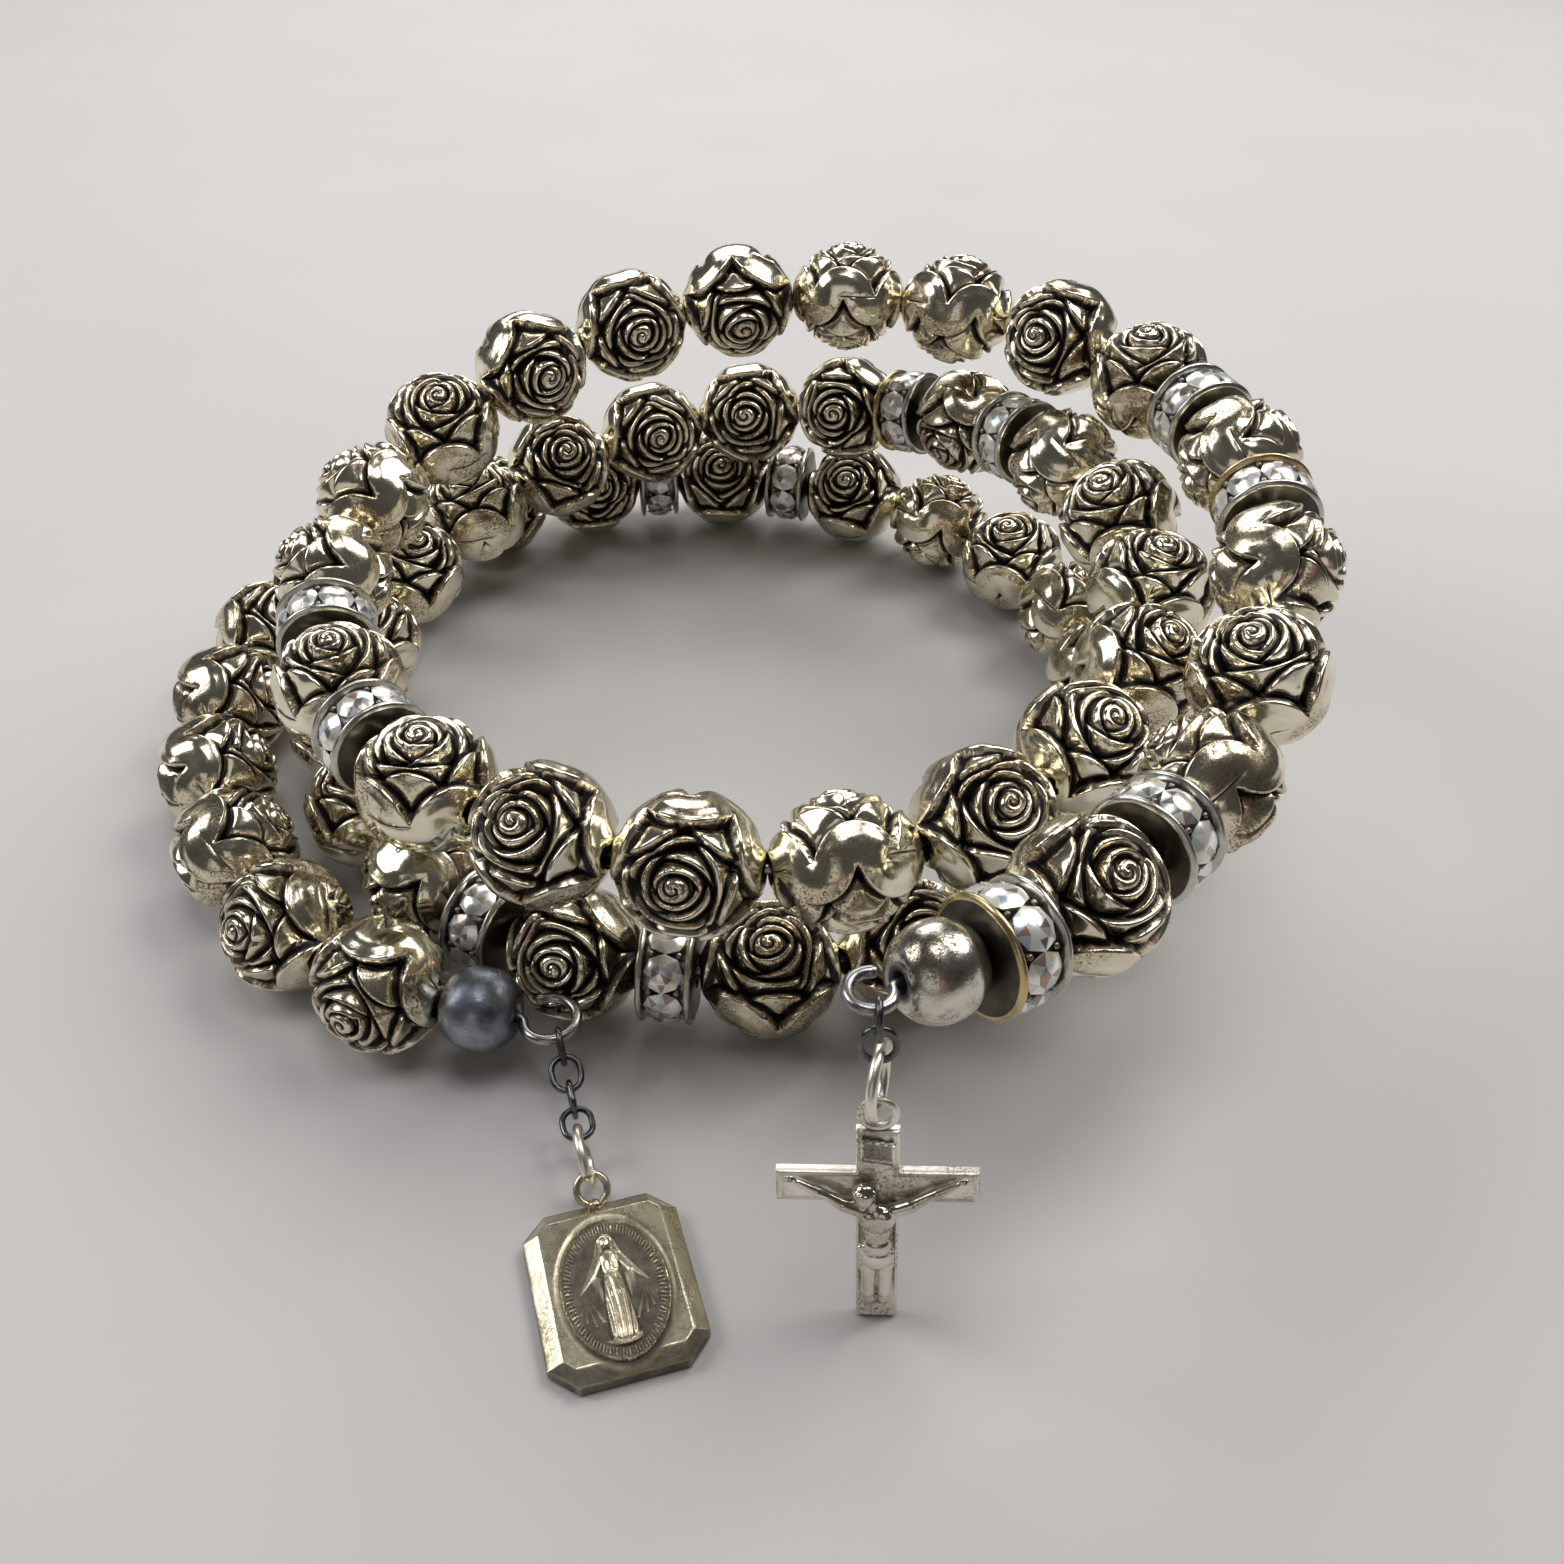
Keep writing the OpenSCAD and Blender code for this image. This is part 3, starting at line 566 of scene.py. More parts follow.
def rose_piece(name, indexes):
    """The roses at these places of the wire, as one piece that stands for the CAD node of its name."""
    co, faces, cav, nor = ROSE
    V, F, C, N, base = [], [], [], [], 0
    for i in indexes:
        m = bead_axes(i)
        turn = m[:3, :3] @ FLIPS[FLIP[ROSES.index(i)]]
        V.append(co @ turn.T + m[:3, 3])
        N.append(nor @ turn.T)
        C.append(cav)
        F.append(faces + base)
        base += len(co)
    o = new_mesh("roses_" + name, np.concatenate(V), np.concatenate(F), True, {"cavity": np.concatenate(C)}, np.concatenate(N))
    o.data.materials.append(ROSE_MAT)
    lo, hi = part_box(name)
    vs = np.concatenate(V) * MM
    off = max(abs((vs.min(0)[k] + vs.max(0)[k]) / 2 - (lo[k] + hi[k]) / 2) for k in range(3))
    if off > 0.0004:
        raise RuntimeError(f"{name} is {off * 1000:.2f} mm from its node")
    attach(o, "root")
    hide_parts(name)
    return o


def index_of(kind, number):
    """Place on the wire of the n-th rose or spacer counted from the crucifix, as the nodes are named."""
    same = [i for i, k in enumerate(ORDER) if k == kind][::-1]
    return same[number - 1]


rose_piece("decade_5", range(1, 11))
rose_piece("decade_4", range(14, 24))
rose_piece("decade_3", range(27, 37))
for name, i in (("bead_5", 12), ("bead_4", 25), ("bead_3", 38), ("bead_2", 51), ("bead_1", 64), ("bead_0", 70)):
    rose_piece(name, [i])
for k in list(range(17, 27)) + list(range(6, 16)) + [2, 3, 4]:
    rose_piece(f"rose_{k:02d}", [index_of("r", k)])

# ---------------------------------------------------------------- stone-set spacers
def stone(w, rise, seed):
    """A round cut stone on its back, table up along z: a crown of sixteen facets around a table of eight."""
    r = random.Random(seed)
    V, F = [(0, 0, -0.5)], []

    def row(n, s, z, off, wob):
        b = len(V)
        for k in range(n):
            a = 2 * math.pi * (k + off) / n
            V.append((s * w / 2 * math.cos(a), s * w / 2 * math.sin(a), z + r.uniform(-wob, wob)))
        return b

    g0, g1 = row(8, 0.99, -0.06, 0, 0), row(8, 1.0, 0.02, 0, 0)
    t = row(8, 0.56, rise, 0.5, 0.012)
    V.append((r.uniform(-0.12, 0.12), r.uniform(-0.12, 0.12), rise + 0.004))
    for k in range(8):
        l = (k + 1) % 8
        F += [(0, g0 + l, g0 + k), (g0 + k, g0 + l, g1 + l, g1 + k), (g1 + k, g1 + l, t + k), (g1 + l, t + l, t + k), (t + k, t + l, len(V) - 1)]
    return np.array(V, float), F


def spacer_piece(number):
    i = index_of("d", number)
    m = bead_axes(i)
    name = f"spacer_{number:02d}"
    r = random.Random(100 + number)
    R, L = SPACER_D / 2, SPACER_LEN / 2
    parts, mats, shaded_plates = [], [], []
    for s, mat in ((-1, 0), (1, 1)):
        prof = [(1.0, 0.0), (2.2, 0.0), (R - 0.30, 0.03), (R - 0.06, 0.10), (R, 0.20), (R - 0.01, 0.30), (R - 0.09, 0.37), (R - 0.40, 0.42), (2.0, 0.52), (1.0, 0.52)]
        v, f = ring_lathe([(a, s * (L - b)) for a, b in (prof if s > 0 else prof[::-1])], 72)
        # the rim is pressed in a little over each stone
        an = np.arctan2(v[:, 1], v[:, 0])
        v[:, 2] += s * 0.02 * np.cos(8 * an + 0.3) * (np.hypot(v[:, 0], v[:, 1]) > 2.5)
        parts.append((v, f)); mats.append(mat)
        shaded_plates.append(len(parts) - 1)
    v, f = ring_lathe([(1.0, -L + 0.3), (1.0, L - 0.3), (2.15, L - 0.3), (2.15, -L + 0.3)][::-1], 48)
    parts.append((v, f)); mats.append(2)
    facet = []
    for k in range(8):
        a = (45 * k + number * 13) * RAD
        sv, sf = stone(2.26, 0.36, number * 20 + k)
        B = np.array([[0, 0, 1], [-math.sin(a), math.cos(a), 0], [math.cos(a), math.sin(a), 0]]).T
        tilt = r.uniform(-0.05, 0.05)
        sv = sv @ B.T + np.array([math.cos(a), math.sin(a), 0]) * 2.70 + np.array([0, 0, tilt])
        parts.append((sv, sf)); mats.append(3)
        # two small prongs between this stone and the next
        a2 = a + 22.5 * RAD
        for z in (-0.55, 0.55):
            pv, pf = lathe([(0, -0.2), (0.17, -0.18), (0.17, 0.22), (0.11, 0.30), (0, 0.32)], 10)
            B2 = np.array([[0, 0, 1], [-math.sin(a2), math.cos(a2), 0], [math.cos(a2), math.sin(a2), 0]]).T
            parts.append((pv @ B2.T + np.array([math.cos(a2), math.sin(a2), 0]) * 2.60 + np.array([0, 0, z * 1.45]), pf)); mats.append(2)
    V, F = join(parts)
    flat, index = [], []
    for n_part, ((v, f), mt) in enumerate(zip(parts, mats)):
        flat += [mt == 3] * len(f)
        if n_part in shaded_plates:
            # the plates' flat outer faces are dull and painted dark, a painted shade between plate and bead; only their
            # rims are bright
            reach_out = np.hypot(v[:, 0], v[:, 1])
            index += [4 if reach_out[list(g)].max() < R - 0.25 and abs(v[list(g), 2]).min() > L - 0.2 else mt for g in f]
        else:
            index += [mt] * len(f)
    o = new_mesh("rondelle_" + name, place(V, m), F, True)
    me = o.data
    me.polygons.foreach_set("use_smooth", [not x for x in flat])
    gold = number in (1,)
    for mt in (GOLD_MAT if number % 5 == 3 else FLANGE_MAT, GOLD_MAT if gold else FLANGE_MAT, CORE_MAT, STONE_MAT, PLATE_SHADE_MAT):
        me.materials.append(mt)
    me.polygons.foreach_set("material_index", index)
    fa = me.attributes.new("facet", "FLOAT", "FACE")
    fa.data.foreach_set("value", [r.random() for _ in F])
    me.set_sharp_from_angle(angle=50 * RAD)
    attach(o, "root")
    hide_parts(name)


for k in range(1, 13):
    spacer_piece(k)

# ---------------------------------------------------------------- end beads
def end_piece(name, i, mat, seed):
    r = random.Random(seed)
    R, L, b = END_D / 2, END_LEN / 2, 0.55
    prof = [(b, -L + 0.5), (b, -L + 0.08), (b + 0.10, -L)]
    n = 26
    for k in range(n + 1):
        z = -L + 0.02 + (2 * L - 0.04) * k / n
        prof.append((R * (1 - abs(z / 2.42) ** 2.15) ** 0.5, z))
    prof += [(b + 0.10, L), (b, L - 0.08), (b, L - 0.5)]
    v, f = lathe(prof, 72)
    an = np.arctan2(v[:, 1], v[:, 0])
    rr = np.hypot(v[:, 0], v[:, 1])
    dent = 0.02 * np.cos(3 * an + seed) + 0.015 * np.cos(5 * an + 2 * v[:, 2] + seed)
    v[:, :2] *= (1 - dent * (rr > 0.9) / np.maximum(rr, 0.5))[:, None]
    m = bead_axes(i)
    cav = smoothstep(1.0, 0.7, rr)
    o = new_mesh("bead_" + name, place(v, m), f, True, {"cavity": cav})
    o.data.materials.append(mat)
    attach(o, "root")
    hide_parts(name)


end_piece("end_bead_medal", 0, DARK_BEAD_MAT, 2)
end_piece("end_bead_cross", 72, BRIGHT_BEAD_MAT, 5)

# ---------------------------------------------------------------- wire with its two loops
W_R = WIRE_D / 2
start_dir = -along(0)
start_mid = at(0) + (END_LEN / 2 + 0.1 + MEDAL_LOOP_D / 2) * unit([start_dir[0], start_dir[1], 0])
end_t = ANGLES[-1]
end_dir = along(end_t)
end_mid = at(end_t) + (END_LEN / 2 + 0.1 + CROSS_LOOP_D / 2) * end_dir


def eye(c, d, r, up, steps=46):
    h = unit([d[0], d[1], 0])
    v = np.cross([0, 0, 1], h)
    out = []
    for q in range(steps):
        k = 15.0 * q / (steps - 1)
        a = (180 + k * 21) * RAD
        out.append(c + r * math.cos(a) * h + up * r * math.sin(a) * v + np.array([0, 0, WIRE_D * 1.05 * (k - 7.5) / 15 * 0.5]))
    return out


path = eye(start_mid, start_dir, MEDAL_LOOP_D / 2 - W_R, 1)[::-1]
path += [at(float(np.interp(s, MEASURED, np.arange(0, 1051)))) for s in np.arange(0.3, places[-1] + 0.1, 1.0)]
path += [at(end_t)]
path += eye(end_mid, end_dir, CROSS_LOOP_D / 2 - W_R, -1)
P = np.array(path)
# soften the bends where the wire turns into its loops
for _ in range(2):
    P[1:-1] = 0.25 * P[:-2] + 0.5 * P[1:-1] + 0.25 * P[2:]
keep = [0]
for k in range(1, len(P)):
    if np.linalg.norm(P[k] - P[keep[-1]]) > 0.05:
        keep.append(k)
P = P[keep]
radius = np.full(len(P), W_R)
radius[0] = radius[-1] = W_R * 0.8
v, f = tube(P, radius, 14)
wire = new_mesh("spring_wire", v, f)
wire.data.materials.append(WIRE_MAT)
wire.data.set_sharp_from_angle(angle=60 * RAD)
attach(wire, "root")
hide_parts("memory_wire")

# ---------------------------------------------------------------- links and rings
def link_axes(a, b, roll):
    n = unit(b - a)
    side = np.array([1.0, 0, 0]) if abs(n[2]) > 0.9 else np.array([0, 0, 1.0])
    m = axes((a + b) / 2, n, side)
    c, s = math.cos(roll * RAD), math.sin(roll * RAD)
    m[:3, :3] = m[:3, :3] @ np.array([[c, -s, 0], [s, c, 0], [0, 0, 1]])
    return m


def link_piece(name, a, b, w, l, wide, roll, mat, cut=None, seed=0):
    """An oval ring along z and x between the holds a and b; cut leaves the joint where its wire was closed."""
    q, s = (wide - w) / 2, l - wide
    n = 72
    pts = []
    start = (cut or 0) * RAD
    for k in range(n):
        t = start + 2 * math.pi * (k + 0.5) / n
        pts.append((q * math.cos(t), 0.0, q * math.sin(t) + (s / 2 if math.sin(t) > 0 else -s / 2)))
    P = np.array(pts)
    if cut is not None:
        side = np.linspace(-1, 1, n) * 0.05
        P[:, 1] += side                          # the two ends don't quite meet
        v, f = tube(P, w * 0.56, 14, False, (0, 1, 0))
    else:
        v, f = tube(P, w / 2, 14, True, (0, 1, 0))
    o = new_mesh("link_" + name, place(v, link_axes(a, b, roll)), f)
    o.data.materials.append(mat)
    o.data.set_sharp_from_angle(angle=60 * RAD)
    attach(o, "root")
    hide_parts(name)


def reach(l, w):
    return l - 2 * w - GAP


turn = MEDAL_TURN * RAD
ahead = np.array([math.sin(turn), -math.cos(turn), 0])
HOLD_Z = [4, 3.2, 2.6, 2.2, 2.1, 1.5]
hold_l = [reach(LINK_LEN, LINK_WIRE)] * 4 + [reach(MEDAL_RING_D, RING_WIRE)]
hold_0 = start_mid + (MEDAL_LOOP_D / 2 - 2 * W_R - GAP / 2) * np.array([math.sin(28 * RAD), -math.cos(28 * RAD), 0])
run, hold = 0.0, []
for k in range(6):
    if k:
        run += math.sqrt(hold_l[k - 1] ** 2 - (HOLD_Z[k] - HOLD_Z[k - 1]) ** 2)
    hold.append(np.array([hold_0[0], hold_0[1], 0]) + run * ahead + np.array([0, 0, HOLD_Z[k]]))
for k, roll in ((0, 0), (1, 90), (2, 0), (3, 90)):
    link_piece(f"medal_link_{k + 1}", hold[k], hold[k + 1], LINK_WIRE, LINK_LEN, LINK_W, roll, LINK_MAT)
link_piece("medal_ring", hold[4], hold[5], RING_WIRE, MEDAL_RING_D, MEDAL_RING_D, 8, RING_MAT, 60)

hang_0 = end_mid + (CROSS_LOOP_D / 2 - W_R) * np.array([math.sin(18 * RAD), -math.cos(18 * RAD), 0]) - np.array([0, 0, 0.15])
foot = np.array([FOOT[0], FOOT[1], BAR_T * 0.09 + BAR_W * 0.03]) - np.array([MIDDLE[0], MIDDLE[1], 0])
fall = unit(foot - hang_0)
hang_1 = hang_0 - (W_R + GAP / 2) * fall
hang_2 = hang_1 + reach(LINK_LEN, LINK_WIRE) * fall
hang_3 = hang_2 + reach(LINK_LEN - 0.1, LINK_WIRE) * fall
hang_4 = hang_3 + reach(CROSS_RING_D, RING_WIRE) * fall
bail_mid = hang_4 + (BAIL_R - BAIL_WIRE / 2 - GAP / 2) * fall
CROSS_TOP = BAIL_R + 0.1
CROSS_H = np.linalg.norm(foot - bail_mid) - CROSS_TOP
link_piece("cross_link_1", hang_1, hang_2, LINK_WIRE, LINK_LEN, LINK_W, 90, LINK_MAT)
link_piece("cross_link_2", hang_2, hang_3, LINK_WIRE, LINK_LEN - 0.1, LINK_W, 0, LINK_MAT)
link_piece("cross_ring", hang_3, hang_4, RING_WIRE, CROSS_RING_D, CROSS_RING_D, 105, RING_MAT, 200)

# ---------------------------------------------------------------- low relief toolkit
def soft_max(a, b, k):
    h = np.clip(0.5 + 0.5 * (a - b) / k, 0, 1)
    return b * (1 - h) + a * h + k * h * (1 - h)


def limb_height(x, y, a, b, ra, rb, z=0.0, flat=1.0):
    """Height of a round limb from a to b lying in the plane, -1 outside it."""
    ax, ay, bx, by = *a, *b
    L = max((bx - ax) ** 2 + (by - ay) ** 2, 1e-9)
    t = np.clip(((x - ax) * (bx - ax) + (y - ay) * (by - ay)) / L, 0, 1)
    d = np.hypot(x - ax - t * (bx - ax), y - ay - t * (by - ay))
    r = ra + t * (rb - ra)
    return np.where(d < r, z + flat * np.sqrt(np.clip(r * r - d * d, 0, None)), z - 2.0 * (d - r) - 0.02)


def blur(a, n):
    k = np.ones(2 * n + 1) / (2 * n + 1)
    for _ in range(2):
        a = np.apply_along_axis(lambda r: np.convolve(np.pad(r, n, mode="edge"), k, "valid"), 0, a)
        a = np.apply_along_axis(lambda r: np.convolve(np.pad(r, n, mode="edge"), k, "valid"), 1, a)
    return a


# ---------------------------------------------------------------- medal
def medal_height(x, y):
    """Height of the medal's face in mm, and how dark it is coloured there."""
    w, h, c = MEDAL_W / 2, MEDAL_H / 2, MEDAL_CUT
    d = np.minimum(w - np.abs(x), h - np.abs(y))
    corner = (w + h - c - np.abs(x) - np.abs(y)) / math.sqrt(2)
    # the slopes at the sides are wider than those at the cut corners
    side = np.clip(d / 0.85, 0, 1)
    nook = np.clip(corner / 0.62, 0, 1)
    k = np.minimum(side, nook)
    Z = 0.62 + 0.52 * (1 - np.sqrt(np.clip((1 - k) ** 2 + 0.004, 0, None))) + 0.03
    Z = Z + 0.006 * np.sin(3.1 * x + 1.0) * np.sin(2.7 * y + 0.4)
    yy = y - OVAL_DROP
    rho = np.sqrt((x / (OVAL_W / 2)) ** 2 + (yy / (OVAL_H / 2)) ** 2)
    ins = (1 - rho) * (OVAL_W / 2) * (1 + 0.35 * np.abs(yy) / (OVAL_H / 2))       # mm inwards from the oval's edge
    Z = Z - 0.09 * np.exp(-(np.clip(-ins, 0, None) / 0.20) ** 2)                  # moat around the oval
    # a dark ring just outside the oval, wider and darker towards -y
    halo = np.exp(-(np.clip(-ins, 0, None) / (0.30 + 0.16 * np.clip(-yy / 4 + 0.1 * np.sin(3 * x), 0, 1))) ** 2) * (ins < 0.02)
    ang = np.arctan2(yy / (OVAL_H / 2), x / (OVAL_W / 2))
    # thin raised line, then a milled border, then the sunk field
    band = 1.02 + 0.17 * np.exp(-((ins - 0.07) / 0.055) ** 2)
    stroke = 0.5 + 0.5 * np.cos(ang * 96)
    cross_cut = 0.5 + 0.5 * np.cos(ang * 48 + 12 * ins)
    mill = smoothstep(0.18, 0.24, ins) * smoothstep(0.64, 0.56, ins)
    band = band + 0.085 * mill * smoothstep(0.25, 0.75, stroke) * (0.55 + 0.45 * cross_cut)
    bed = 1.0 + 0.03 * smoothstep(0.9, 2.2, ins)
    inner = np.where(ins > 0.72, bed, band)
    Z = np.where(ins > 0.0, inner, Z)
    # robed figure on a globe, light falling from its open hands
    F = np.full(x.shape, -1.0)
    x, yy, flat_x, flat_y = x / 1.16, (yy - 0.10) / 1.12, x, yy                   # the figure's own measure

    def limb(a, b, ra, rb, z, flat=1.0, k=0.05):
        nonlocal F
        F = soft_max(F, limb_height(x, yy, a, b, ra, rb, z, flat), k)

    for s in (-1, 1):
        limb((s * 0.26, 2.30), (s * 0.46, 1.50), 0.20, 0.22, 0.0, 0.75)             # veil on the shoulders
        limb((s * 0.46, 1.50), (s * 0.88, 0.72), 0.24, 0.21, 0.0, 0.80)             # sleeve
        limb((s * 0.88, 0.72), (s * 1.28, 0.20), 0.19, 0.12, 0.03, 0.80)
        limb((s * 0.80, 0.62), (s * 0.74, -0.55), 0.20, 0.05, -0.04, 0.70, 0.03)    # mantle falling from the arm
        limb((s * 0.62, 0.50), (s * 0.62, -1.60), 0.16, 0.05, -0.05, 0.70, 0.03)
        limb((s * 1.28, 0.20), (s * 1.46, -0.04), 0.10, 0.06, 0.05, 0.9, 0.02)      # hand
        for q in range(6):
            a0 = (-90 + s * (-20 + 13 * q)) * RAD
            r0, r1 = 0.20, 1.75 - 0.17 * q + 0.12 * math.sin(2.1 * q + s)
            c0 = (s * 1.30, -0.05)
            F = np.maximum(F, limb_height(x, yy, (c0[0] + r0 * math.cos(a0), c0[1] + r0 * math.sin(a0)),
                                          (c0[0] + r1 * math.cos(a0), c0[1] + r1 * math.sin(a0)), 0.02, 0.085, 0.0, 1.3))
    limb((0, 1.50), (0, 0.72), 0.42, 0.34, 0.0, 0.85)
    limb((0, 0.66), (0.0, -0.30), 0.36, 0.50, 0.0, 0.80)
    limb((0, -0.30), (0.0, -2.20), 0.50, 0.62, 0.0, 0.70)
    skirt = smoothstep(0.60, 0.30, yy) * smoothstep(0.75, 0.55, np.abs(x)) * (F > 0.02)
    F = F + 0.055 * skirt * np.cos(13 * (x * (1.5 - 0.16 * yy)) + 0.8 * np.sin(1.3 * yy))
    F = F + 0.04 * smoothstep(0.5, 0.3, np.abs(x)) * (smoothstep(1.30, 1.20, yy) * smoothstep(0.75, 0.85, yy)) * np.cos(16 * x)
    F = F - 0.07 * np.exp(-((yy - 0.70) / 0.05) ** 2) * (np.abs(x) < 0.40)          # belt
    limb((0, 2.42), (0, 2.28), 0.36, 0.33, 0.02, 0.85)                              # veil over the head
    F = F - 0.09 * np.exp(-((np.hypot(x, (yy - 2.28) * 0.85) - 0.245) / 0.05) ** 2)
    limb((0, 2.33), (0, 2.20), 0.19, 0.15, 0.17, 0.9, 0.03)                         # calm, plain face
    limb((0, 2.30), (0, 2.23), 0.03, 0.04, 0.33, 0.8, 0.02)
    limb((-0.10, -2.52), (0.14, -2.54), 0.16, 0.16, 0.05, 0.8)                      # feet
    globe = np.sqrt(np.clip(1.15 ** 2 - x ** 2 - ((yy + 3.50) * 1.05) ** 2, 0, None)) * 0.30
    F = np.where(x ** 2 + ((yy + 3.50) * 1.05) ** 2 < 1.15 ** 2, soft_max(F, globe - 0.03 + 0.03 * np.cos(11 * yy) * np.cos(6 * x), 0.03), F)
    for q in range(7):                                                              # coils at the feet
        a0 = (180 - 30 * q) * RAD
        limb((0.95 * math.cos(a0), -2.78 + 0.22 * math.sin(a0)), (0.95 * math.cos(a0) + 0.14, -2.74 + 0.24 * math.sin(a0)), 0.12, 0.11, 0.05, 0.8, 0.02)
    x, yy = flat_x, flat_y
    lay = bed + np.clip(F, 0, None) * 0.62
    Z = np.where(ins > 0.70, np.maximum(Z, lay), Z)
    dark = np.maximum(halo * (0.55 + 0.35 * np.clip(-yy / 4, 0, 1)), 0.0)
    dark = np.maximum(dark, smoothstep(0.12, 0.20, ins) * (0.13 + 0.59 * smoothstep(1.12, 1.03, Z)))
    return Z, dark


def medal_piece():
    nx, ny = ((190, 235))
    w, h = MEDAL_W / 2, MEDAL_H / 2
    xs, ys = np.linspace(-w, w, nx), np.linspace(-h, h, ny)
    X, Y = np.meshgrid(xs, ys, indexing="ij")
    Z, dark = medal_height(X, Y)
    cav = np.clip(np.maximum(np.clip((blur(Z, 4) - Z) / 0.07, 0, 1), dark), 0, 1)
    bm = bmesh.new()
    layer = bm.verts.layers.float.new("cavity")
    grid = [[None] * ny for _ in range(nx)]
    for i in range(nx):
        for j in range(ny):
            vtx = bm.verts.new((X[i, j], Y[i, j], Z[i, j]))
            vtx[layer] = float(cav[i, j])
            grid[i][j] = vtx
    for i in range(nx - 1):
        for j in range(ny - 1):
            bm.faces.new((grid[i][j], grid[i + 1][j], grid[i + 1][j + 1], grid[i][j + 1]))
    for sx in (-1, 1):
        for sy in (-1, 1):
            n = Vector((sx, sy, 0)).normalized()
            p = Vector((sx * (w - MEDAL_CUT / 2), sy * (h - MEDAL_CUT / 2), 0))
            bmesh.ops.bisect_plane(bm, geom=bm.verts[:] + bm.edges[:] + bm.faces[:], plane_co=p, plane_no=n, clear_outer=True)
    edges = [e for e in bm.edges if e.is_boundary]
    top = bmesh.ops.extrude_edge_only(bm, edges=edges)
    low = [g for g in top["geom"] if isinstance(g, bmesh.types.BMVert)]
    for vtx in low:
        vtx.co.z = 0.12
    ring = [e for e in bm.edges if e.is_boundary]
    under = bmesh.ops.extrude_edge_only(bm, edges=ring)
    low2 = [g for g in under["geom"] if isinstance(g, bmesh.types.BMVert)]
    for vtx in low2:
        s = 1 - 0.12 / max(vtx.co.xy.length, 1)
        vtx.co = Vector((vtx.co.x * s, vtx.co.y * s, 0.01))
    bmesh.ops.holes_fill(bm, edges=[e for e in bm.edges if e.is_boundary], sides=0)
    bmesh.ops.recalc_face_normals(bm, faces=bm.faces)
    mid = MEDAL_MID
    rot = Matrix.Rotation(turn, 4, "Z")
    bm.transform(Matrix.Translation(Vector(mid)) @ rot)
    bm.transform(Matrix.Scale(MM, 4))
    me = bpy.data.meshes.new("medal_face")
    bm.to_mesh(me)
    bm.free()
    me.polygons.foreach_set("use_smooth", [True] * len(me.polygons))
    me.set_sharp_from_angle(angle=38 * RAD)
    # bail ring and its foot
    bail_c = medal_top - ahead * (BAIL_R * math.cos(BAIL_LEAN)) + np.array([0, 0, BAIL_R * math.sin(BAIL_LEAN)])
    m = axes(bail_c, -ahead * math.cos(BAIL_LEAN) + np.array([0, 0, math.sin(BAIL_LEAN)]), np.cross(ahead, [0, 0, 1.0]))
    ts = np.arange(64) * 2 * math.pi / 64
    tv, tf = tube(np.stack([BAIL_R * np.cos(ts), 0 * ts, BAIL_R * np.sin(ts)], -1), BAIL_WIRE / 2, 14, True, (0, 1, 0))
    fv, ff = lathe([(0, -0.35), (0.42, -0.34), (0.40, 0.0), (0.27, 0.16), (0.20, 0.24), (0, 0.26)], 24)
    fm = axes(medal_top, -ahead, [0, 0, 1.0])
    V, F = join([(place(tv, m), tf), (place(fv, fm), ff)])
    bail = new_mesh("medal_bail", V, F, True, {"cavity": np.zeros(len(V))})
    o = bpy.data.objects.new("medal_plate", me)
    bpy.context.scene.collection.objects.link(o)
    for p in (o, bail):
        p.data.materials.append(MEDAL_MAT)
        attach(p, "root")
        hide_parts("medal")


BAIL_IN = 2 * BAIL_R - BAIL_WIRE / 2 - GAP / 2
BAIL_LEAN = math.asin((HOLD_Z[5] - MEDAL_T / 2) / BAIL_IN)
medal_top = np.array([hold[5][0], hold[5][1], MEDAL_T / 2]) + ahead * (BAIL_IN * math.cos(BAIL_LEAN))
MEDAL_MID = np.array([medal_top[0], medal_top[1], 0]) + ahead * MEDAL_H / 2
medal_piece()

# ---------------------------------------------------------------- crucifix
CROSS_M = axes(bail_mid, fall, [-1.0, 0.045, 0])       # x across (towards the viewer's left), y to the back, z down the stem


def lines_through(stops, step):
    """Grid lines through these places, evenly filled in between."""
    out = [stops[0]]
    for a, b in zip(stops[:-1], stops[1:]):
        n = max(1, int(round((b - a) / step)))
        out += [a + (b - a) * (k + 1) / n for k in range(n)]
    return np.array(out)


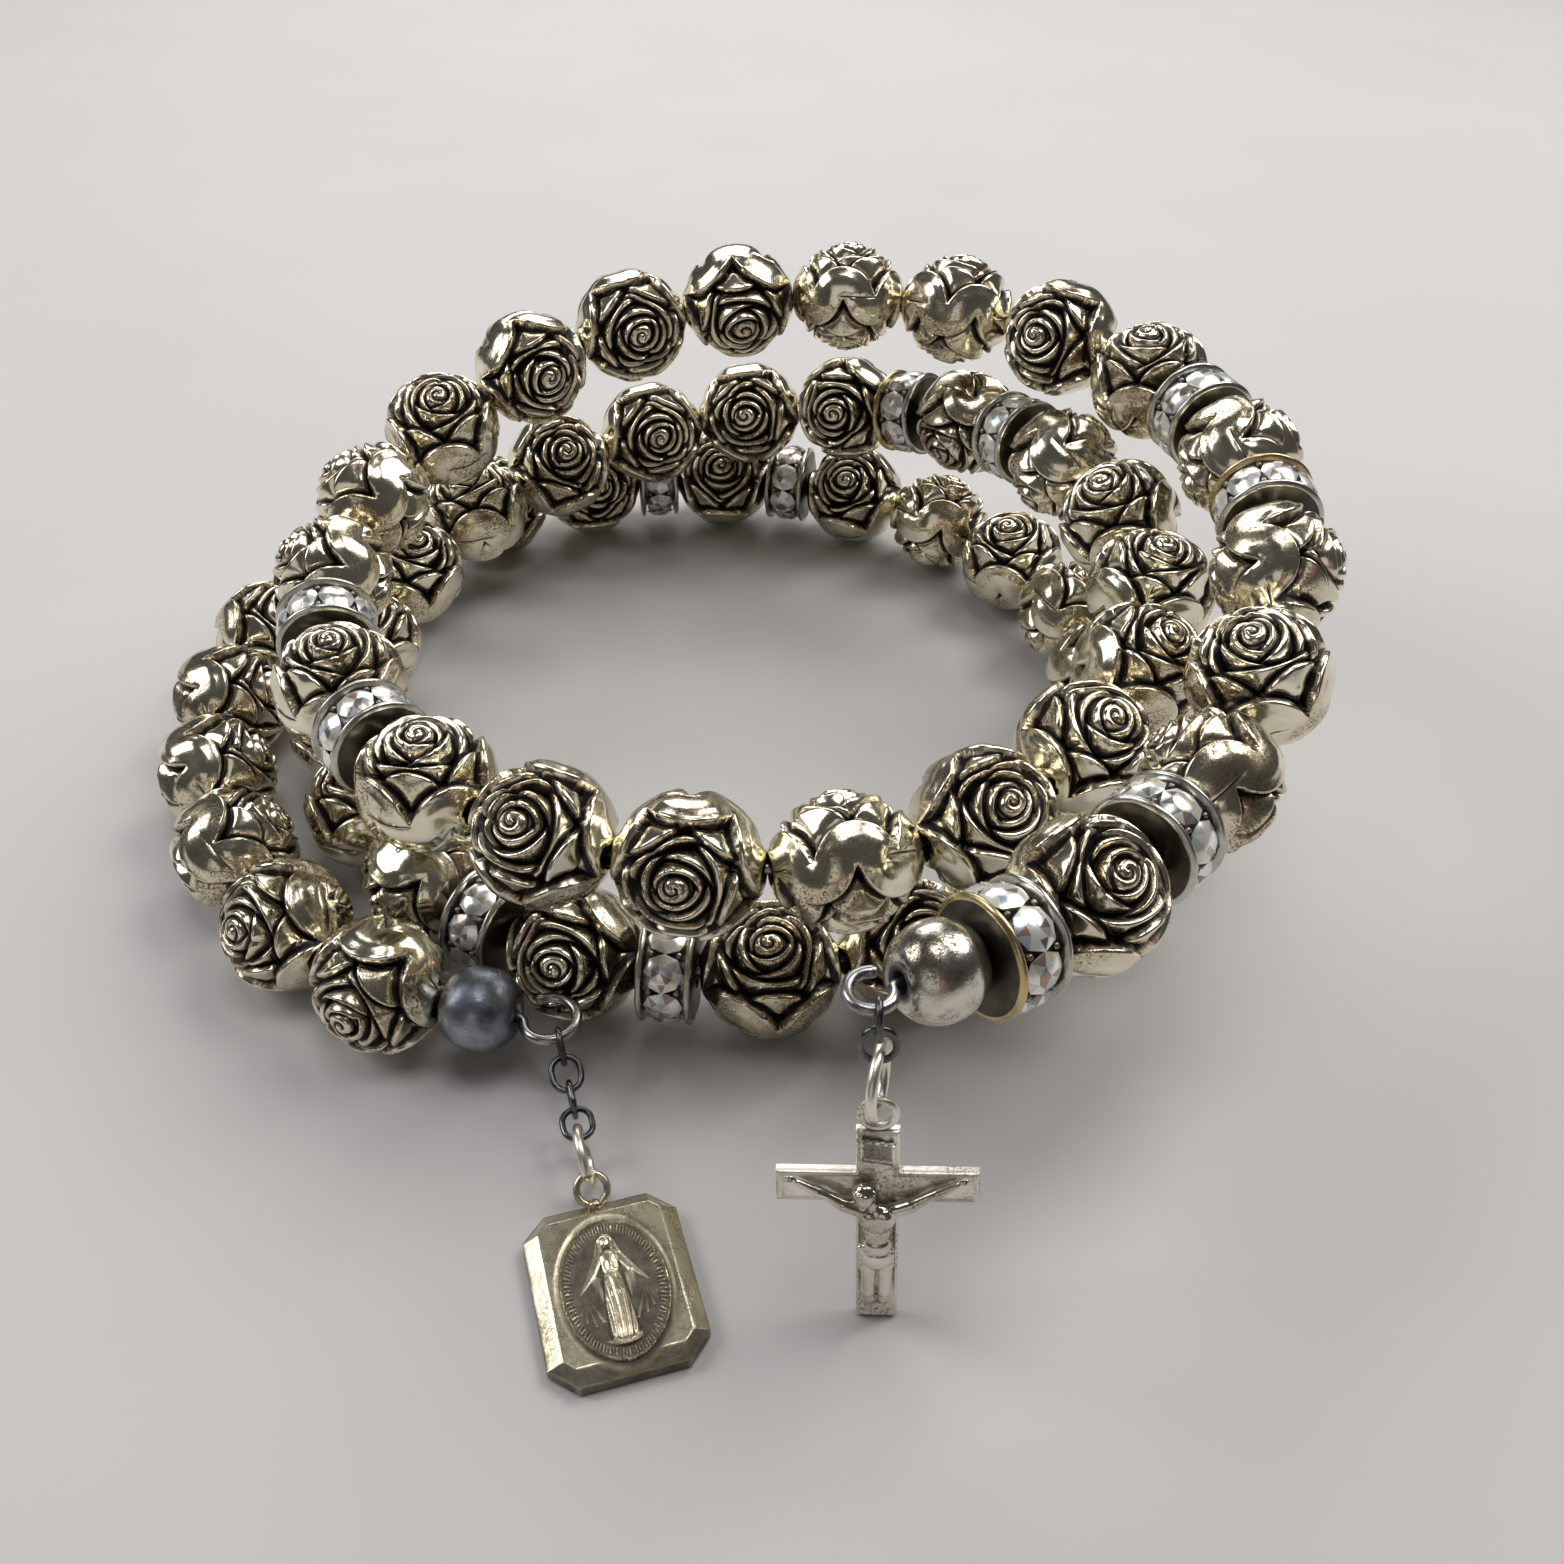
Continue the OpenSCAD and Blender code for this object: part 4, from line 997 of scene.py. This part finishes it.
def cross_body():
    """The flat cross with a raised rim, as a front sheet in relief, sides and back."""
    hw, ha, a0, a1 = BAR_W / 2, CROSS_W / 2, ARM_DROP - ARM_H / 2, ARM_DROP + ARM_H / 2
    step = 0.06
    xs = lines_through([-ha, -hw, hw, ha], step)
    zs = lines_through([0, a0, a1, CROSS_H], step)
    X, Z = np.meshgrid(xs, zs, indexing="ij")

    def inside(x, z):
        return ((np.abs(x) < hw) | ((z > a0) & (z < a1) & (np.abs(x) < ha)))

    # distance to the outline, from inside
    d_stem = np.minimum(hw - np.abs(X), np.minimum(Z, CROSS_H - Z))
    d_arm = np.minimum(ha - np.abs(X), np.minimum(Z - a0, a1 - Z))
    # where stem and arms cross, the outline is only at the inner corners
    d = np.maximum(d_stem, d_arm)
    corner = np.hypot(np.clip(hw - np.abs(X), 0, None), np.clip(np.minimum(Z - a0, a1 - Z), 0, None))
    both = (np.abs(X) < hw) & (Z > a0) & (Z < a1)
    d = np.where(both, np.maximum(d, corner), d)
    H = 0.01 + 0.07 * np.exp(-((d - 0.11) / 0.08) ** 2) - 0.05 * np.exp(-(d / 0.04))
    H = H - 0.02 * smoothstep(0.18, 0.28, d)
    H = H + 0.012 * np.sin(9 * X + 4 * Z) * np.sin(7 * Z + 1) * smoothstep(0.3, 0.5, d)
    # bare scroll above the arms
    tilt = Z - 1.22 + 0.16 * X
    plate = smoothstep(0.84, 0.78, np.abs(X)) * smoothstep(0.64, 0.58, np.abs(tilt))
    curl = 0.06 * np.exp(-((np.abs(tilt) - 0.52) / 0.07) ** 2) + 0.05 * smoothstep(0.62, 0.76, np.abs(X))
    H = np.where(plate > 0.01, np.maximum(H, plate * (0.10 + curl)), H)
    cav = np.clip((blur(H, 3) - H) / 0.04, 0, 1)
    cav = np.maximum(cav, 0.30 * smoothstep(0.16, 0.28, d) * (plate < 0.5))
    cav = np.maximum(cav, 0.75 * plate * smoothstep(0.50, 0.42, np.abs(tilt)) * smoothstep(0.70, 0.62, np.abs(X)))
    y = -BAR_T / 2 - H
    nx, nz = X.shape
    ids, V, C, F = -np.ones((nx, nz), int), [], [], []
    cells = []
    for i in range(nx - 1):
        for j in range(nz - 1):
            if inside((xs[i] + xs[i + 1]) / 2, (zs[j] + zs[j + 1]) / 2):
                cells.append((i, j))
    used = set()
    for i, j in cells:
        used |= {(i, j), (i + 1, j), (i + 1, j + 1), (i, j + 1)}
    for i, j in sorted(used):
        ids[i, j] = len(V)
        V.append((X[i, j], y[i, j], Z[i, j]))
        C.append(cav[i, j])
    for i, j in cells:
        F.append((ids[i, j], ids[i + 1, j], ids[i + 1, j + 1], ids[i, j + 1]))
    bm = bmesh.new()
    layer = bm.verts.layers.float.new("cavity")
    vs = []
    for p, c in zip(V, C):
        q = bm.verts.new(p)
        q[layer] = float(c)
        vs.append(q)
    for f in F:
        bm.faces.new([vs[k] for k in f])
    for depth in (0.0, BAR_T / 2 - 0.05, BAR_T / 2):
        e = [q for q in bm.edges if q.is_boundary]
        g = bmesh.ops.extrude_edge_only(bm, edges=e)
        for q in [k for k in g["geom"] if isinstance(k, bmesh.types.BMVert)]:
            q.co.y = depth
            q[layer] = 0.1
    bmesh.ops.holes_fill(bm, edges=[q for q in bm.edges if q.is_boundary], sides=0)
    bmesh.ops.triangulate(bm, faces=[q for q in bm.faces if len(q.verts) > 4])
    bmesh.ops.recalc_face_normals(bm, faces=bm.faces)
    bm.transform(Matrix.Translation((0, 0, CROSS_TOP)))
    bm.transform(Matrix(CROSS_M.tolist()))
    bm.transform(Matrix.Scale(MM, 4))
    me = bpy.data.meshes.new("cross_bars")
    bm.to_mesh(me)
    bm.free()
    me.polygons.foreach_set("use_smooth", [True] * len(me.polygons))
    me.set_sharp_from_angle(angle=40 * RAD)
    o = bpy.data.objects.new("cross_bars", me)
    bpy.context.scene.collection.objects.link(o)
    o.data.materials.append(CROSS_MAT)
    return o


def ball(c, r, squash=(1, 1, 1), turn_m=None, seg=20):
    prof = [(0, -1)] + [(math.sin(math.pi * k / seg), -math.cos(math.pi * k / seg)) for k in range(1, seg)] + [(0, 1)]
    v, f = lathe(prof, 2 * seg)
    v = v * np.array(squash) * r
    if turn_m is not None:
        v = v @ turn_m.T
    return v + np.array(c), f


def rod(a, b, ra, rb, seg=20):
    """A rounded limb in space."""
    a, b = np.array(a, float), np.array(b, float)
    L = np.linalg.norm(b - a)
    prof = [(0, -ra)] + [(ra * math.sin(t), -ra * math.cos(t)) for t in np.linspace(0.2, math.pi / 2, 6)]
    prof += [(rb * math.cos(t), L + rb * math.sin(t)) for t in np.linspace(0, math.pi / 2 - 0.2, 6)] + [(0, L + rb)]
    v, f = lathe(prof, seg)
    n = (b - a) / L
    x = np.array([0, 1.0, 0.01])
    return place(v, axes(a, n, x)), f


def corpus():
    """The figure on the cross: rounded limbs melted together. Mirrored frame: +x is the viewer's left."""
    a, b, f = ARM_DROP, CROSS_H - 0.7, -BAR_T / 2
    P = []
    # head sunk towards the viewer's left, hair to the shoulders
    hx, hz = 0.62, a + 0.02
    P.append(ball((hx, f - 0.66, hz), 0.50, (0.92, 0.95, 1.12)))
    P.append(ball((hx - 0.02, f - 0.54, hz - 0.08), 0.57, (1.0, 0.85, 1.08)))
    P.append(rod((hx + 0.34, f - 0.48, hz - 0.05), (hx + 0.26, f - 0.44, hz + 0.75), 0.22, 0.16))
    P.append(rod((hx - 0.36, f - 0.44, hz - 0.10), (hx - 0.42, f - 0.46, hz + 0.80), 0.22, 0.18))
    P.append(ball((hx + 0.04, f - 1.06, hz + 0.06), 0.10, (0.8, 1.0, 1.3)))       # plain nose and beard
    P.append(ball((hx + 0.06, f - 0.92, hz + 0.40), 0.18, (1.0, 0.8, 1.1)))
    for k in range(11):                                                           # wreath
        t = 2 * math.pi * k / 11
        P.append(ball((hx + 0.48 * math.cos(t), f - 0.60 + 0.42 * math.sin(t), hz - 0.32 + 0.05 * math.cos(3 * t)), 0.105))
    P.append(rod((0.42, f - 0.44, a + 0.45), (0.12, f - 0.44, a + 1.0), 0.26, 0.30))
    # chest, waist, hips
    P.append(ball((0.34, f - 0.58, a + 1.45), 0.50, (1.05, 0.80, 1.20)))
    P.append(ball((-0.34, f - 0.58, a + 1.45), 0.50, (1.05, 0.80, 1.20)))
    P.append(ball((0.0, f - 0.44, a + 1.55), 0.78, (1.08, 0.66, 1.05)))
    P.append(ball((0.0, f - 0.46, a + 2.55), 0.60, (1.0, 0.66, 1.25)))
    for k in range(3):
        for s in (-1, 1):
            P.append(rod((s * 0.12, f - 0.86 + 0.04 * k, a + 1.85 + 0.24 * k), (s * 0.62, f - 0.62, a + 1.72 + 0.24 * k), 0.07, 0.06))
    P.append(ball((0.0, f - 0.48, a + 3.35), 0.66, (1.05, 0.70, 0.9)))
    # loincloth with folds and a hanging end
    P.append(ball((0.0, f - 0.50, a + 4.05), 0.82, (1.0, 0.66, 0.95)))
    for k in range(5):
        P.append(rod((-0.76, f - 0.60, a + 3.50 + 0.26 * k), (0.76, f - 0.68, a + 3.32 + 0.33 * k), 0.10, 0.085))
    P.append(rod((0.78, f - 0.56, a + 3.4), (0.86, f - 0.42, a + 4.9), 0.19, 0.14))
    P.append(rod((0.66, f - 0.64, a + 3.6), (0.62, f - 0.58, a + 4.95), 0.13, 0.10))
    P.append(rod((0.10, f - 0.92, a + 3.7), (-0.25, f - 0.80, a + 4.8), 0.09, 0.08))
    # arms
    for s in (-1, 1):
        sh, el, wr, ha = (s * 0.80, f - 0.44, a + 1.05), (s * 2.35, f - 0.36, a + 0.22), (s * 3.66, f - 0.26, a - 0.48), (s * 4.0, f - 0.22, a - 0.62)
        half = ((sh[0] + el[0]) / 2, f - 0.44, (sh[2] + el[2]) / 2 + 0.06)
        fore = ((el[0] * 2 + wr[0]) / 3, f - 0.34, (el[2] * 2 + wr[2]) / 3)
        P.append(ball(sh, 0.38))
        P.append(rod(sh, half, 0.36, 0.36))
        P.append(rod(half, el, 0.34, 0.24))
        P.append(rod(el, fore, 0.24, 0.28))
        P.append(rod(fore, wr, 0.27, 0.16))
        P.append(ball(ha, 0.23, (1.1, 0.6, 0.9)))
        for k in range(4):
            P.append(rod((ha[0] + s * 0.08, ha[1], ha[2] - 0.10 + 0.07 * k), (ha[0] + s * 0.32, ha[1] - 0.02, ha[2] - 0.20 + 0.10 * k), 0.06, 0.05))
        P.append(ball((ha[0], ha[1] - 0.14, ha[2]), 0.08))
    # legs, knees bent to the front, feet crossed
    k0, k1 = a + 4.5, a + 6.1
    for s in (-1, 1):
        kn = (s * 0.36 + 0.02, f - 0.78, k1)
        an = (s * 0.15, f - 0.42, b - 0.85)
        P.append(rod((s * 0.38, f - 0.48, k0), kn, 0.42, 0.31))
        P.append(ball(kn, 0.32))
        P.append(rod(kn, (s * 0.30, f - 0.56, (k1 + b - 0.55) / 2), 0.27, 0.29))
        P.append(rod((s * 0.30, f - 0.56, (k1 + b - 0.55) / 2), an, 0.28, 0.17))
        P.append(rod(an, (s * 0.11, f - 0.50 - 0.06 * s, b - 0.20), 0.19, 0.17))
    P.append(ball((0.0, f - 0.72, b - 0.42), 0.09))
    V, F = join(P)
    me = bpy.data.meshes.new("tmp")
    me.from_pydata(V.tolist(), [], [list(q) for q in F])
    o = bpy.data.objects.new("tmp", me)
    bpy.context.scene.collection.objects.link(o)
    r = o.modifiers.new("r", "REMESH")
    r.mode = "VOXEL"
    r.voxel_size = 0.055
    s_ = o.modifiers.new("s", "SMOOTH")
    s_.factor, s_.iterations = 0.5, 2
    dg = bpy.context.evaluated_depsgraph_get()
    ev = o.evaluated_get(dg).to_mesh()
    co = np.empty(len(ev.vertices) * 3)
    ev.vertices.foreach_get("co", co)
    co = co.reshape(-1, 3).copy()
    faces = [tuple(p.vertices) for p in ev.polygons]
    bpy.data.objects.remove(o)
    co[:, 2] += CROSS_TOP
    piece = new_mesh("cross_figure", place(co, CROSS_M), faces)
    piece.data.materials.append(CORPUS_MAT)
    return piece


def cross_bail():
    ts = np.arange(64) * 2 * math.pi / 64
    tv, tf = tube(np.stack([BAIL_R * np.cos(ts), 0 * ts, BAIL_R * np.sin(ts)], -1), BAIL_WIRE / 2, 14, True, (0, 1, 0))
    fv, ff = lathe([(0, -0.16), (0.26, -0.12), (0.34, 0.10), (0.44, 0.22), (0.44, 0.34), (0, 0.36)], 24)
    fv = fv * np.array([1.0, 0.52, 1.0]) + np.array([0, 0, BAIL_R])
    V, F = join([(tv, tf), (fv, ff)])
    o = new_mesh("cross_bail", place(V, CROSS_M), F, True, {"cavity": np.zeros(len(V))})
    o.data.materials.append(CROSS_MAT)
    return o


for o in (cross_body(), corpus(), cross_bail()):
    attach(o, "root")
    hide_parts("crucifix")

# ---------------------------------------------------------------- floor, light, camera
fv = [(-0.9, -0.9, 0), (0.9, -0.9, 0), (0.9, 0.9, 0), (-0.9, 0.9, 0)]
me = bpy.data.meshes.new("floor")
me.from_pydata([(x, y, -0.00005) for x, y, z in fv], [], [(0, 1, 2, 3)])
floor = bpy.data.objects.new("floor", me)
bpy.context.scene.collection.objects.link(floor)
m, nt, b = material("floor_plain")
co = nt.nodes.new("ShaderNodeTexCoord").outputs["Object"]
nt.links.new(mix(nt, noise(nt, co, 30, 2), (0.55, 0.535, 0.53), (0.60, 0.585, 0.58)), b.inputs["Base Color"])
b.inputs["Roughness"].default_value = 0.75
floor.data.materials.append(m)


def area(name, where, aim, size, power, colour=(1, 1, 1), tall=None):
    l = bpy.data.lights.new(name, "AREA")
    l.energy = power
    l.color = colour
    l.size = size
    if tall:
        l.shape = "RECTANGLE"
        l.size_y = tall
    o = bpy.data.objects.new(name, l)
    bpy.context.scene.collection.objects.link(o)
    o.location = where
    o.rotation_euler = (Vector(aim) - Vector(where)).to_track_quat("-Z", "Y").to_euler()
    return o


area("key", (0.24, 0.14, 0.34), (0, 0, 0), 0.26, 1.15, (1.0, 0.985, 0.95))
area("left", (-0.32, 0.04, 0.26), (0, 0, 0), 0.22, 0.66, (0.98, 0.99, 1.0))
area("back", (-0.04, 0.34, 0.22), (0, 0, 0), 0.24, 0.55, (1.0, 0.99, 0.97))
area("top", (0.02, -0.02, 0.48), (0, 0, 0), 0.18, 0.45, (1.0, 0.99, 0.98))
area("front", (-0.10, -0.36, 0.16), (0, 0, 0.01), 0.22, 0.07, (1.0, 0.98, 0.95))
area("warm", (0.04, -0.32, 0.09), (0, 0, 0.01), 0.12, 0.008, (1.0, 0.45, 0.34))
world = bpy.data.worlds.new("studio")
bpy.context.scene.world = world
world.use_nodes = True
world.node_tree.nodes["Background"].inputs[0].default_value = (0.29, 0.285, 0.28, 1)
world.node_tree.nodes["Background"].inputs[1].default_value = 0.22

cam = bpy.data.cameras.new("camera")
cam.lens = 36.19
cam.sensor_width = 36.0
cam.clip_start, cam.clip_end = 0.005, 5.0
camera = bpy.data.objects.new("camera", cam)
bpy.context.scene.collection.objects.link(camera)
pos = (np.array([6.217, -88.466, 69.739]) - MIDDLE) * MM
fwd, right = Vector((-0.0005, 0.7702, -0.6378)), Vector((1.0, 0.0023, 0.0020))
right = (right - right.dot(fwd) * fwd).normalized()
up = right.cross(fwd)
camera.matrix_world = Matrix(((right.x, up.x, -fwd.x, pos[0]), (right.y, up.y, -fwd.y, pos[1]), (right.z, up.z, -fwd.z, pos[2]), (0, 0, 0, 1)))
bpy.context.scene.camera = camera
bpy.context.scene.view_settings.view_transform = "Standard"
bpy.context.scene.view_settings.look = "None"
